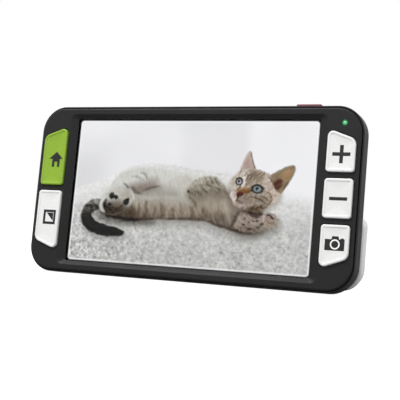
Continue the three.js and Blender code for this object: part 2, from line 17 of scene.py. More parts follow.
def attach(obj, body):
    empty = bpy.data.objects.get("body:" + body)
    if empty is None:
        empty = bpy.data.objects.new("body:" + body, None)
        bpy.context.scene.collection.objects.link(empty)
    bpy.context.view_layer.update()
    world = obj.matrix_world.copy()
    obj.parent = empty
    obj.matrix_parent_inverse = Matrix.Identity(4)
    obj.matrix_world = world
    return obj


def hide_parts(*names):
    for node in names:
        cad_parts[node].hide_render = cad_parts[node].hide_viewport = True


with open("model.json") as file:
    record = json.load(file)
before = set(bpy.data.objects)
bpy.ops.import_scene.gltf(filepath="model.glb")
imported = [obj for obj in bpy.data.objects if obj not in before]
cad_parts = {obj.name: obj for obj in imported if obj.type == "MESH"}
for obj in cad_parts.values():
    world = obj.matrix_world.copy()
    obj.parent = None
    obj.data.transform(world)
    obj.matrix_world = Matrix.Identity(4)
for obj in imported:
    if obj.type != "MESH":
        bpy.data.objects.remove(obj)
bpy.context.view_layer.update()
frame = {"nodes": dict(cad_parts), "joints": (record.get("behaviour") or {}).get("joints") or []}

MM = 0.001
SIDES = (("left", -1), ("right", 1))
JOINTS = {joint["name"]: joint for joint in frame["joints"]}

# ---------------------------------------------------------------- sizes, in millimetres, as in the CAD model

BODY = dict(half_w=74.0, half_h=36.9, r=11.3, depth=12.0, wall=1.8)
REAR_ROUND = dict(side=3.6, deep=5.2)
LIP = dict(front=1.0, thick=0.55, end=2.4)
GROOVE = 0.35
COVER = dict(thick=1.8, round=0.8, skirt_gap=0.4, skirt=1.0, skirt_end=4.4)
SCREEN = dict(half_w=55.35, half_h=31.13, margin=0.5)
WINDOW = dict(r=1.0, bevel_w=59.05, bevel_h=33.35, bevel_r=2.2, depth=1.5)
HUMP = dict(half_w=65.5, top=27.4, bottom=-4.6, r=8.0, back=18.1, edge=1.6)
KEY = dict(inner=59.85, outer=71.25, r=1.3, gap=0.3, proud=1.0)
KEY_FLANGE = dict(out=0.6, y=2.1, thick=0.8)
CORNER_KEY = dict(inner_z=27.4, inner_r=2.1, outer_z=23.3, outer_r=3.4)
KEY_BAR = dict(left=0.0, right=9.05, half=1.3)
POWER = dict(x=49.0, half_x=5.3, y=7.2, half_y=1.35, top=38.8, flange=0.6, foot=(34.0, 34.8))
STATUS = dict(x=66.15, z=29.9, r=1.05)
STATUS_GAP = 0.25  # between the status light and its hole
AXIS = dict(y=15.3, z=-8.2)
PIN_AXIS = (AXIS["y"], AXIS["z"])
STAND = dict(half=2.8, top_w=74.0, foot_w=71.7, foot=-35.8, r_top=4.0, r_foot=9.0, edge=1.2)
FOOT = dict(r=1.5, z=-35.2, half_x=58.0)
LUG = dict(x=50.0, half=4.0, r=2.6, notch=5.2, notch_floor=-12.4)
PIN = dict(r=1.1, half=9.0, bore=1.4)
CASE_SCREWS = [(sx * 60.5, sz * 30.7) for sz in (1, -1) for sx in (-1, 1)]
STAND_SCREWS = [(-61.0, -15.5), (61.0, -15.5), (-58.0, -30.0), (58.0, -30.0)]
CAMERA_Z = 12.5
LIGHT = dict(x=15.5, half_x=4.2, half_z=3.2)
CAMERA_OPENING = dict(r=7.4, deep=1.2, bore=5.6)
SPEAKER = dict(x=45.0, z=12.0, ring=3.4, hole=0.8)
PORT = dict(x=-28.0, y=7.95, half_x=4.6, half_y=1.65, inner=30.4, mouth=36.1, wall=0.3)
SLOT_FLOOR = 34.0  # the lower end of the slots in the top edge
BOSS = dict(r=2.2, end=9.9, pilot=1.2, pilot_end=11.0)
SCREW_RECESS = dict(r=2.1, deep=1.1, shank=1.3)
PAD_ROOM = dict(x=67.0, half_w=8.0, half_h=28.4, r=2.0)  # where the skirt makes way for the key pads
POCKET = dict(half_w=65.6, bottom=-32.6, top=-13.2, r=4.3, deep=1.7)  # in the stand, for its liner
LINER = dict(half_w=65.3, bottom=-32.3, top=-13.5, r=4.0, thick=1.5)
STAND_PAD = dict(x=54.0, z=-25.0, half_x=6.0, half_z=2.0)
REAR_FOOT = dict(x=54.0, half_x=5.0, bottom=19.5, top=23.5, r=1.9)
PAD_PROUD = 0.9
CASE_SCREW = dict(sunk=0.15, tip=4.0, r_head=1.8, r_shank=0.9)
STAND_SCREW = dict(sunk=0.15, seat=0.8, tip=3.4, r_head=1.45, r_shank=0.75)
OVERLAP = 0.05  # how far joined solids reach into each other

# ---------------------------------------------------------------- the device's frame in the row frame

inward = Vector(JOINTS["home_press"]["axis"])  # the device's +Y: the way a key travels
LEAN = math.atan2(-inward.z, inward.y)
hinge = Vector(JOINTS["stand_hinge"]["pos_m"])
turn = Matrix.Rotation(-LEAN, 4, "X")
in_device = Vector((0, AXIS["y"], AXIS["z"])) * MM
DEVICE = Matrix.Translation(hinge - turn @ in_device) @ turn
OPEN = -math.radians(JOINTS["stand_hinge"]["range_deg"][0])  # how far the stand is open at rest
OPENED = Matrix.Translation(in_device) @ Matrix.Rotation(OPEN, 4, "X") @ Matrix.Translation(-in_device)
STANDING = DEVICE @ OPENED
TO_METRES = Matrix.Scale(MM, 4)

# ---------------------------------------------------------------- outlines and lofts


def rectangle(half_w, z0, z1, r, x=0.0):
    """Corners (x, z, radius) of an upright rectangle, anticlockwise."""
    return [(x - half_w, z0, r), (x + half_w, z0, r), (x + half_w, z1, r), (x - half_w, z1, r)]


def outline(corners, inset=0.0, steps=12):
    """Points of a convex outline with rounded corners, every edge moved in by inset."""
    n = len(corners)
    edges = []
    for i in range(n):
        start = Vector(corners[i][:2])
        along = (Vector(corners[(i + 1) % n][:2]) - start).normalized()
        into = Vector((-along.y, along.x))
        edges.append((start + into * inset, along, into))
    points = []
    for i in range(n):
        (p0, d0, n0), (p1, d1, n1) = edges[i - 1], edges[i]
        r = max(corners[i][2] - inset, 0.03)
        cross = d0.x * d1.y - d0.y * d1.x
        gap = p1 - p0
        corner = p0 + d0 * ((gap.x * d1.y - gap.y * d1.x) / cross)
        angle = math.atan2(cross, d0.dot(d1))
        centre = corner - d0 * (r * math.tan(angle / 2)) + n0 * r
        first = math.atan2(-n0.y, -n0.x)
        for k in range(steps + 1):
            a = first + angle * k / steps
            points.append((centre.x + r * math.cos(a), centre.y + r * math.sin(a)))
    return points


def skin(loops):
    """A closed solid through loops of points (x, y, z), capped at both ends."""
    n = len(loops[0])
    verts = [p for loop in loops for p in loop]
    faces = [tuple(range(n)), tuple(range((len(loops) - 1) * n, len(loops) * n))[::-1]]
    for j in range(len(loops) - 1):
        for i in range(n):
            a, b = j * n + i, j * n + (i + 1) % n
            faces.append((a, a + n, b + n, b))
    return verts, faces


def loft(corners, rings, steps=12):
    """A closed solid of rings (y, inset) of one outline, from front to back."""
    return skin([[(x, y, z) for x, z in outline(corners, inset, steps)] for y, inset in rings])


def between(corners_a, corners_b, rings, steps=12):
    """A closed solid of rings (y, share of b, inset) from outline a to outline b."""
    loops = []
    for y, share, inset in rings:
        a, b = np.array(outline(corners_a, inset, steps)), np.array(outline(corners_b, inset, steps))
        loops.append([(x, y, z) for x, z in a * (1 - share) + b * share])
    return skin(loops)


def turned(x, z, profile, sides=48):
    """A solid turned about Y, from (radius, y) points that run from the front to the back."""
    return skin([circle(x, z, max(r, 0.01), y, sides) for r, y in profile])


def circle(x, z, r, y, sides):
    return [(px, y, pz) for px, pz in disc(x, z, r, sides)]


def disc(x, z, r, sides=48):
    angles = [2 * math.pi * k / sides for k in range(sides)]
    return [(x + r * math.cos(a), z + r * math.sin(a)) for a in angles]


def peg(x, z, r, y0, y1, sides=32):
    """A plain round rod along Y."""
    return turned(x, z, [(r, y0), (r, y1)], sides)


def rod(x0, x1, y, z, r, sides=40, chamfer=0.0):
    """A cylinder along X."""
    ends = [(x0, r), (x1, r)]
    if chamfer:
        ends = [(x0, r - chamfer), (x0 + chamfer, r), (x1 - chamfer, r), (x1, r - chamfer)]
    return skin([[(x, py, pz) for py, pz in disc(y, z, q, sides)] for x, q in ends])


def box(x0, x1, y0, y1, z0, z1):
    return skin([[(x0, y, z0), (x1, y, z0), (x1, y, z1), (x0, y, z1)] for y in (y0, y1)])


def quarter(y0, inset0, y1, inset1, bulge, n=6):
    """Rings along a quarter ellipse: 'out' rounds an edge that starts flat, 'in' one that ends flat."""
    rings = []
    for k in range(n + 1):
        a = math.pi / 2 * k / n
        s, c = math.sin(a), 1 - math.cos(a)
        u, v = (c, s) if bulge == "out" else (s, c)
        rings.append((y0 + (y1 - y0) * u, inset0 + (inset1 - inset0) * v))
    return rings


def upward(solid, y):
    """Turns a solid drawn along Y to point up, round the given y."""
    verts, faces = solid
    return [(px, pz + y, py) for px, py, pz in verts], [f[::-1] for f in faces]


# ---------------------------------------------------------------- meshes and booleans


def linked(name, data):
    """A new object in the scene."""
    obj = bpy.data.objects.new(name, data)
    bpy.context.scene.collection.objects.link(obj)
    return obj


def new_object(name, solid):
    verts, faces = solid
    mesh = bpy.data.meshes.new(name)
    mesh.from_pydata(verts, [], faces)
    bm = bmesh.new()
    bm.from_mesh(mesh)
    bmesh.ops.recalc_face_normals(bm, faces=bm.faces)
    bm.to_mesh(mesh)
    bm.free()
    return linked(name, mesh)


def merged(solids):
    """Several solids as one list of points and faces."""
    verts, faces = [], []
    for v, f in solids:
        start = len(verts)
        verts += list(v)
        faces += [tuple(i + start for i in face) for face in f]
    return verts, faces


def boolean(obj, solids, operation):
    """Cuts or joins solids, which don't overlap each other, into an object."""
    tool = new_object("tool", merged(solids))
    modifier = obj.modifiers.new("boolean", "BOOLEAN")
    modifier.operation = operation
    modifier.solver = "EXACT"
    modifier.object = tool
    apply_modifiers(obj)
    bpy.data.objects.remove(tool)


def apply_modifiers(obj):
    graph = bpy.context.evaluated_depsgraph_get()
    mesh = bpy.data.meshes.new_from_object(obj.evaluated_get(graph))
    obj.modifiers.clear()
    obj.data = mesh


def taken(obj):
    """The points and faces of an object, which is then removed."""
    solid = [v.co[:] for v in obj.data.vertices], [tuple(p.vertices) for p in obj.data.polygons]
    bpy.data.objects.remove(obj)
    return solid


def cut(obj, *groups):
    for group in groups:
        boolean(obj, group, "DIFFERENCE")


def join(obj, *groups):
    for group in groups:
        boolean(obj, group, "UNION")


def weld(obj):
    """Merges the points that a cut left almost on each other."""
    merge = 0.002
    bm = bmesh.new()
    bm.from_mesh(obj.data)
    bmesh.ops.remove_doubles(bm, verts=bm.verts, dist=merge)
    bmesh.ops.dissolve_degenerate(bm, edges=bm.edges, dist=merge)
    bm.to_mesh(obj.data)
    bm.free()


def soften(obj, width, segments, angle):
    """Rounds the sharp edges that a cut left."""
    modifier = obj.modifiers.new("bevel", "BEVEL")
    modifier.width = width
    modifier.segments = segments
    modifier.limit_method = "ANGLE"
    modifier.angle_limit = math.radians(angle)
    apply_modifiers(obj)


def place(obj, body, slot, material, *nodes, sharp=35):
    """Puts a piece drawn in millimetres into the row frame, with its body, finish and shading."""
    obj.data.transform((STANDING if body == "stand" else DEVICE) @ TO_METRES)
    obj.data.polygons.foreach_set("use_smooth", [True] * len(obj.data.polygons))
    obj.data.set_sharp_from_angle(angle=math.radians(sharp))
    normals = obj.modifiers.new("normals", "WEIGHTED_NORMAL")
    normals.keep_sharp = True
    obj.data.materials.clear()
    obj.data.materials.append(material)
    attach(obj, body)
    if nodes:
        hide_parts(*nodes)


def piece(name, solid, body, slot, material, *nodes, sharp=35):
    """Makes and places a piece that needs no cutting."""
    place(new_object(name, solid), body, slot, material, *nodes, sharp=sharp)


# ---------------------------------------------------------------- materials


class Nodes:
    """A material's node tree, with short ways to add and link nodes."""

    def __init__(self, name):
        self.material = bpy.data.materials.new(name)
        self.material.use_nodes = True
        self.tree = self.material.node_tree
        self.shader = self.tree.nodes["Principled BSDF"]
        self.point = self.add("ShaderNodeTexCoord").outputs["Object"]

    def add(self, kind, inputs=None, **settings):
        node = self.tree.nodes.new(kind)
        for key, value in settings.items():
            setattr(node, key, value)
        for key, value in (inputs or {}).items():
            self.feed(node.inputs[key], value)
        return node

    def feed(self, socket, value):
        if isinstance(value, bpy.types.NodeSocket):
            self.tree.links.new(value, socket)
        else:
            socket.default_value = value

    def noise(self, size_mm, detail=3.0, roughness=0.5, where=None):
        """Noise with features of about that size."""
        inputs = {"Vector": where or self.point, "Scale": 1000 / size_mm, "Detail": detail,
                  "Roughness": roughness}
        return self.add("ShaderNodeTexNoise", inputs).outputs["Fac"]

    def cells(self, size_mm):
        """The distance from the middle of each cell, for cells of about that size."""
        inputs = {"Vector": self.point, "Scale": 1000 / size_mm}
        return self.add("ShaderNodeTexVoronoi", inputs).outputs["Distance"]

    def span(self, value, low, high, to_low, to_high):
        inputs = {"Value": value, "From Min": low, "From Max": high, "To Min": to_low, "To Max": to_high}
        return self.add("ShaderNodeMapRange", inputs).outputs["Result"]

    def blend(self, share, a, b):
        node = self.add("ShaderNodeMix", data_type="RGBA")
        self.feed(node.inputs[0], share)
        self.feed(node.inputs[6], a)
        self.feed(node.inputs[7], b)
        return node.outputs[2]

    def math(self, operation, a, b=0.0):
        node = self.add("ShaderNodeMath", operation=operation)
        self.feed(node.inputs[0], a)
        self.feed(node.inputs[1], b)
        return node.outputs[0]

    def bump(self, height, depth_mm):
        inputs = {"Height": height, "Distance": depth_mm * MM, "Strength": 1.0}
        return self.add("ShaderNodeBump", inputs).outputs["Normal"]

    def set(self, **values):
        for key, value in values.items():
            self.feed(self.shader.inputs[key.replace("_", " ")], value)


def to_linear(value):
    """Screen values from 0 to 1 as the linear values that a shader takes."""
    return np.where(value <= 0.04045, value / 12.92, ((value + 0.055) / 1.055) ** 2.4)


def linear(red, green, blue):
    """A linear colour, given as it looks on a screen, from 0 to 255."""
    return tuple(float(c) for c in to_linear(np.array((red, green, blue)) / 255)) + (1.0,)


def tinted(colour, factor, offset=0.0):
    return tuple(min(1.0, c * factor + offset) for c in colour[:3]) + (1.0,)


def moulded(name, colour, rough, grain_mm=0.35, grain_depth=0.006, tone=0.12, **extra):
    """Moulded plastic: a fine spark-eroded grain, faint flow marks, and fingers' polish."""
    n = Nodes(name)
    swirl = n.noise(14.0, detail=4.0, roughness=0.6)
    speck = n.noise(grain_mm * 1.7, detail=2.0)
    mottle = n.math("ADD", n.math("MULTIPLY", swirl, 0.6), n.math("MULTIPLY", speck, 0.4))
    darker, lighter = tinted(colour, 1 - tone), tinted(colour, 1 + tone)
    n.set(Base_Color=n.blend(n.span(mottle, 0.35, 0.65, 0, 1), darker, lighter))
    polish = n.noise(9.0, detail=5.0, roughness=0.65)
    n.set(Roughness=n.span(polish, 0.3, 0.7, rough - 0.06, rough + 0.07))
    grain = n.math("ADD", n.cells(grain_mm), n.noise(grain_mm * 0.5, detail=2.0))
    n.set(Normal=n.bump(grain, grain_depth))
    n.set(**extra)
    return n.material


def metal(name, colour, rough, scratch=(60.0, 2.0)):
    """Plated metal with scratches of a length and width one way, and dulled patches."""
    n = Nodes(name)
    stretched = n.add("ShaderNodeMapping", {"Vector": n.point, "Scale": (scratch[1] / scratch[0], 1.0, 1.0)})
    lines = n.noise(0.08, detail=4.0, where=stretched.outputs["Vector"])
    dull = n.noise(2.5, detail=4.0)
    n.set(Base_Color=n.blend(n.span(dull, 0.35, 0.7, 0, 1), colour, tinted(colour, 0.8)), Metallic=1.0)
    n.set(Roughness=n.span(lines, 0.3, 0.7, rough - 0.08, rough + 0.1), Normal=n.bump(lines, 0.003))
    return n.material


def rubber(name, colour, rough=0.75):
    """Moulded rubber: a dry, slightly dusty surface with a soft sheen."""
    n = Nodes(name)
    dust = n.noise(1.2, detail=6.0, roughness=0.7)
    n.set(Base_Color=n.blend(n.span(dust, 0.5, 0.85, 0, 1), colour, tinted(colour, 1.9, 0.004)))
    n.set(Roughness=n.span(dust, 0.3, 0.7, rough - 0.05, rough + 0.1), Sheen_Weight=0.25)
    n.set(Normal=n.bump(n.noise(0.25, detail=3.0), 0.012))
    return n.material


def clear(name, tint, rough=0.02, ior=1.45, waves=0.0):
    """Clear glass or plastic, with a faint smear in its gloss."""
    n = Nodes(name)
    smear = n.noise(11.0, detail=5.0, roughness=0.6)
    n.set(Base_Color=n.blend(smear, tint, tinted(tint, 1.04)), Transmission_Weight=1.0, IOR=ior)
    n.set(Roughness=n.span(smear, 0.45, 0.8, rough, rough + 0.03))
    if waves:
        n.set(Normal=n.bump(n.noise(1.6, detail=2.0), waves))
    return n.material


def circuit_board(name):
    """Green solder mask over copper tracks, with pads and vias."""
    n = Nodes(name)
    tracks = n.add("ShaderNodeTexBrick", {"Vector": n.point, "Scale": 260.0, "Mortar Size": 0.035})
    vias = n.span(n.cells(2.4), 0.0, 0.16, 1, 0)
    mask, copper = linear(22, 82, 48), linear(48, 124, 70)
    tint = n.blend(tracks.outputs["Fac"], mask, copper)
    n.set(Base_Color=n.blend(n.math("GREATER_THAN", vias, 0.3), tint, linear(196, 170, 96)))
    n.set(Roughness=n.span(n.noise(3.0), 0.3, 0.7, 0.25, 0.4))
    n.set(Normal=n.bump(tracks.outputs["Fac"], 0.02))
    return n.material


def lit(name, colour, strength):
    """A lit translucent piece: brighter in the middle of its grain."""
    n = Nodes(name)
    glow = n.noise(0.9, detail=2.0)
    tint = n.blend(n.span(glow, 0.35, 0.65, 0, 1), tinted(colour, 0.55), colour)
    n.set(Base_Color=tint, Emission_Color=tint, Emission_Strength=strength, Roughness=0.3)
    return n.material


BLACK = moulded("case_plastic", linear(32, 32, 33), 0.46, Specular_IOR_Level=0.2)
DARK = moulded("inner_plastic", linear(24, 24, 25), 0.5)
STAND_GREY = moulded("stand_plastic", linear(230, 230, 230), 0.42, tone=0.03)
LINER_GREY = moulded("liner_plastic", linear(176, 178, 181), 0.55, grain_mm=0.5, tone=0.04)
WHITE_KEY = moulded("white_key_plastic", linear(222, 222, 221), 0.3, grain_mm=0.5, grain_depth=0.003,
                    tone=0.02)
GREEN_KEY = moulded("green_key_plastic", linear(131, 166, 40), 0.32, grain_mm=0.5, grain_depth=0.003,
                    tone=0.05)
RED_KEY = moulded("red_key_plastic", linear(100, 16, 34), 0.45, grain_mm=0.4, grain_depth=0.003, tone=0.06)
INK = moulded("icon_ink", linear(11, 11, 12), 0.5, grain_mm=0.3, grain_depth=0.002, tone=0.1)
PALE_INK = moulded("icon_pale_ink", linear(238, 238, 236), 0.4, grain_mm=0.3, grain_depth=0.002, tone=0.02)
STEEL = metal("plated_steel", linear(196, 198, 202), 0.3)
SHEET = metal("pressed_sheet", linear(188, 190, 194), 0.4, scratch=(40.0, 3.0))
GOLD = metal("contact_gold", linear(222, 184, 104), 0.25)
RUBBER = rubber("foot_rubber", linear(36, 36, 37))
FOAM = rubber("gasket_foam", linear(30, 30, 33), 0.9)
SILICONE = rubber("key_silicone", linear(150, 154, 158), 0.6)
GLASS = clear("cover_glass", (0.98, 0.985, 0.99, 1.0), rough=0.03, ior=1.2)
LENS = clear("lens_glass", (0.8, 0.85, 0.95, 1.0), rough=0.0, ior=1.5)
DIFFUSER = clear("light_diffuser", (0.95, 0.97, 1.0, 1.0), rough=0.35, ior=1.4, waves=0.05)
BOARD = circuit_board("circuit_board")
EMITTER = lit("led_phosphor", linear(245, 222, 120), 0.4)
STATUS_GREEN = lit("status_light", linear(104, 196, 136), 0.5)
STATUS_RIM = moulded("status_light_rim", linear(22, 98, 50), 0.35, grain_mm=0.3, grain_depth=0.002)
FILM = moulded("polyimide_film", linear(190, 112, 36), 0.3, grain_mm=1.2, grain_depth=0.002)
FOIL = metal("battery_foil", linear(180, 184, 190), 0.35, scratch=(20.0, 6.0))

# ---------------------------------------------------------------- the case

CASE = rectangle(BODY["half_w"], -BODY["half_h"], BODY["half_h"], BODY["r"])
COVER_INSET = LIP["thick"] + GROOVE
FINE = 20  # steps in each big rounded corner


def mirror_x(corners):
    return [(-x, z, r) for x, z, r in corners][::-1]


def mirror_z(corners):
    return [(x, -z, r) for x, z, r in corners][::-1]


def corner_key(bottom):
    inner, outer, r = KEY["inner"], KEY["outer"], KEY["r"]
    top_outer = (outer, CORNER_KEY["outer_z"], CORNER_KEY["outer_r"])
    top_inner = (inner, CORNER_KEY["inner_z"], CORNER_KEY["inner_r"])
    return [(inner, bottom, r), (outer, bottom, r), top_outer, top_inner]


KEY_X = (KEY["inner"] + KEY["outer"]) / 2
LEFT_KEY = corner_key(KEY_BAR["left"] + KEY_BAR["half"])
RIGHT_KEY = corner_key(KEY_BAR["right"] + KEY_BAR["half"])
MIDDLE_Z = KEY_BAR["right"] - KEY_BAR["half"]
KEYS = {
    "home": mirror_x(LEFT_KEY),
    "contrast": mirror_z(mirror_x(LEFT_KEY)),
    "zoom_in": RIGHT_KEY,
    "zoom_out": rectangle((KEY["outer"] - KEY["inner"]) / 2, -MIDDLE_Z, MIDDLE_Z, KEY["r"], KEY_X),
    "camera": mirror_z(RIGHT_KEY),
}


def hole(corners, front, back, offset=0.0, lip=0.2):
    """A cutter for a hole whose front edge is rounded."""
    mouth = quarter(front, -offset - lip, front + lip, -offset, "in", 4)
    return loft(corners, [(front - 1, -offset - lip)] + mouth + [(back, -offset)])


def round_hole(x, z, r, front, back, lip=0.15, sides=40):
    """A round cutter, open towards -Y or +Y, with a rounded mouth at `front`."""
    out = -1 if back > front else 1
    mouth = [(r + lip, front + out), (r + lip, front)]
    mouth += [(r + lip * (1 - math.sin(a)),
               front - out * lip * (1 - math.cos(a))) for a in (0.5, 1.0, math.pi / 2)]
    return turned(x, z, mouth + [(r, back)], sides)


def front_cover():
    thick, edge = COVER["thick"], COVER["round"]
    rings = quarter(0, COVER_INSET + edge, edge, COVER_INSET, "out", 8) + [(thick, COVER_INSET)]
    cover = new_object("front_cover_shell", loft(CASE, rings, FINE))
    skirt_inset = BODY["wall"] + COVER["skirt_gap"]
    skirt_rings = [(thick - OVERLAP, skirt_inset), (COVER["skirt_end"], skirt_inset)]
    skirt = new_object("skirt", loft(CASE, skirt_rings, FINE))
    inner = skirt_inset + COVER["skirt"]
    beyond = BODY["depth"]  # past the skirt's end
    cut(skirt, [loft(CASE, [(0, inner), (beyond, inner)], FINE)])
    half_w, half_h, r = PAD_ROOM["half_w"], PAD_ROOM["half_h"], PAD_ROOM["r"]
    rooms = [rectangle(half_w, -half_h, half_h, r, side * PAD_ROOM["x"]) for side in (-1, 1)]
    cut(skirt, [loft(room, [(thick, 0), (beyond, 0)]) for room in rooms])
    join(cover, [taken(skirt)] + [peg(x, z, BOSS["r"], thick - OVERLAP, BOSS["end"]) for x, z in CASE_SCREWS])

    half_w, half_h = SCREEN["half_w"] + SCREEN["margin"], SCREEN["half_h"] + SCREEN["margin"]
    bevel = rectangle(WINDOW["bevel_w"], -WINDOW["bevel_h"], WINDOW["bevel_h"], WINDOW["bevel_r"])
    window = rectangle(half_w, -half_h, half_h, WINDOW["r"])
    depth, through = WINDOW["depth"], 3
    slope = [(-1, 0, -0.22), (0, 0, -0.22), (0.03, 0.01, -0.1), (0.1, 0.06, 0.0), (depth - 0.2, 0.9, 0.0)]
    slope += [(depth - 0.05, 0.985, 0.0), (depth + 0.1, 1.0, 0.0), (through, 1.0, 0.0)]
    cuts = [between(bevel, window, slope, 10)]
    cuts += [hole(corners, 0, through, KEY["gap"], 0.22) for corners in KEYS.values()]
    cuts += [peg(x, z, BOSS["pilot"], through, BOSS["pilot_end"], 24) for x, z in CASE_SCREWS]
    cut(cover, cuts + [round_hole(STATUS["x"], STATUS["z"], STATUS["r"] + STATUS_GAP, 0, through)])
    weld(cover)
    place(cover, "housing", "case_black", BLACK, "front_cover")


def rear_cover():
    depth, wall, back = BODY["depth"], BODY["wall"], HUMP["back"]
    start = depth - REAR_ROUND["deep"]
    rings = quarter(LIP["front"], 0.3, LIP["front"] + 0.3, 0, "out", 4)
    rings += [(start * 0.6, 0.0)] + quarter(start, 0, depth, REAR_ROUND["side"], "in", 12)
    cover = new_object("rear_cover_shell", loft(CASE, rings, FINE))

    hump_corners = rectangle(HUMP["half_w"], HUMP["bottom"], HUMP["top"], HUMP["r"])
    flare = 0.9  # radius of the hollow fillet at the hump's foot
    angles = np.linspace(0, math.pi / 2, 7)
    foot = [(depth + flare * (1 - math.cos(a)), -flare * (1 - math.sin(a))) for a in angles]
    edge = quarter(back - HUMP["edge"], 0, back, HUMP["edge"], "in", 8)
    join(cover, [loft(hump_corners, [(depth - 1, -flare)] + foot + edge, FINE)])
    join(cover, [hinge_lug(side * LUG["x"]) for side in (-1, 1)])

    room = loft(CASE, [(LIP["end"], wall), (depth - wall, wall)], FINE)
    lip_room = loft(CASE, [(0, LIP["thick"]), (LIP["end"], LIP["thick"])], FINE)
    hump_room = loft(hump_corners, [(depth - wall - 0.5, wall), (back - wall, wall)], FINE)
    cut(cover, [lip_room], [room], [hump_room])

    recess, opening, inside = SCREW_RECESS, CAMERA_OPENING, back - wall - 1
    mouths = [round_hole(x, z, recess["r"], depth, depth - recess["deep"], 0.12) for x, z in CASE_SCREWS]
    mouths += [round_hole(0, CAMERA_Z, opening["r"], back, back - opening["deep"], 0.25, 64)]
    mouths += [hole_from_back(light_outline(side * LIGHT["x"]), back, inside, 0.3) for side in (-1, 1)]
    mouths += [round_hole(x, z, SPEAKER["hole"], back, inside, 0.15, 24) for x, z in grille_holes()]
    mouths += [rod(side * LUG["x"] - 6, side * LUG["x"] + 6, *PIN_AXIS, PIN["bore"]) for side in (-1, 1)]
    shanks = [peg(x, z, recess["shank"], depth - wall - 1, depth - 1) for x, z in CASE_SCREWS]
    shanks += [peg(0, CAMERA_Z, opening["bore"], inside, back - 1, 64)]
    half_x, half_y = POWER["half_x"] + KEY["gap"], POWER["half_y"] + KEY["gap"]
    slot_corners = rectangle(half_x, -half_y, half_y, 0.9, POWER["x"])
    top = BODY["half_h"]
    power_slot = upward(hole_from_back(slot_corners, top, SLOT_FLOOR, 0.0), POWER["y"])
    port_slot = upward(hole_from_back(port_outline(0.0), top - 0.3, SLOT_FLOOR, 0.3, 0.35), PORT["y"])
    cut(cover, mouths, shanks + [power_slot, port_slot])
    weld(cover)
    place(cover, "housing", "case_black", BLACK, "rear_cover")


def hole_from_back(corners, mouth, end, offset, lip=0.2):
    """A cutter whose rounded mouth is at its far end along Y."""
    rings = [(end, -offset)] + quarter(mouth - lip, -offset, mouth, -offset - lip, "in", 4)
    return loft(corners, rings + [(mouth + 1.5, -offset - lip)])


def grille_holes():
    """One hole in the middle and six in a ring."""
    x, z, r = SPEAKER["x"], SPEAKER["z"], SPEAKER["ring"]
    angles = [k * math.pi / 3 for k in range(6)]
    return [(x + r * math.cos(a), z + r * math.sin(a)) for a in angles] + [(x, z)]


def light_outline(x):
    return rectangle(LIGHT["half_x"], CAMERA_Z - LIGHT["half_z"], CAMERA_Z + LIGHT["half_z"], 1.4, x)


def port_outline(inset):
    half_x, half_y = PORT["half_x"] - inset, PORT["half_y"] - inset
    return rectangle(half_x, -half_y, half_y, min(1.45, half_y - 0.05), PORT["x"])


def hinge_lug(x):
    """A rounded lug from the hump's lower wall, in the shape of a drop."""
    y, z, r = AXIS["y"], AXIS["z"], LUG["r"]
    arc = [(y + r * math.cos(a), z + r * math.sin(a)) for a in np.linspace(math.radians(55), -math.pi, 26)]
    drop = [(y + r * 0.6, HUMP["bottom"] + 1)] + arc + [(y - r, HUMP["bottom"] + 1)]
    half, edge = LUG["half"], 0.25
    centre = Vector((y, z + 1))
    loops = []
    for across, shrink in ((-half, edge), (-half + edge, 0), (half - edge, 0), (half, edge)):
        loop = []
        for py, pz in drop:
            away = Vector((py, pz)) - centre
            scale = 1 - shrink / max(away.length, 1e-6)
            loop.append((x + across, centre.x + away.x * scale, centre.y + away.y * scale))
        loops.append(loop)
    return skin(loops)


# ---------------------------------------------------------------- the picture on the screen

PICTURE = (400, 225)  # points across and down
SHOWN = (16.0, 9.0)  # the picture's own units: X to the right, Y down
FAR = 9.0  # the distance that stands for a point well outside a shape
LATTICE = 97  # cells across one repeat of the noise
GLASS_HAZE = 0.022  # the light that the cover glass adds to the picture


def flow(points, closed=False, steps=6):
    """A smooth line through points of any number of values each."""
    p = np.array(points, float)
    n = len(p)
    at = (lambda i: p[i % n]) if closed else (lambda i: p[min(max(i, 0), n - 1)])
    line = []
    for i in range(n if closed else n - 1):
        a, b, c, d = at(i - 1), at(i), at(i + 1), at(i + 2)
        for t in np.arange(steps) / steps:
            line.append(b + 0.5 * t * (c - a + t * (2 * a - 5 * b + 4 * c - d + t * (3 * (b - c) + d - a))))
    return np.array(line if closed else line + [p[-1]])


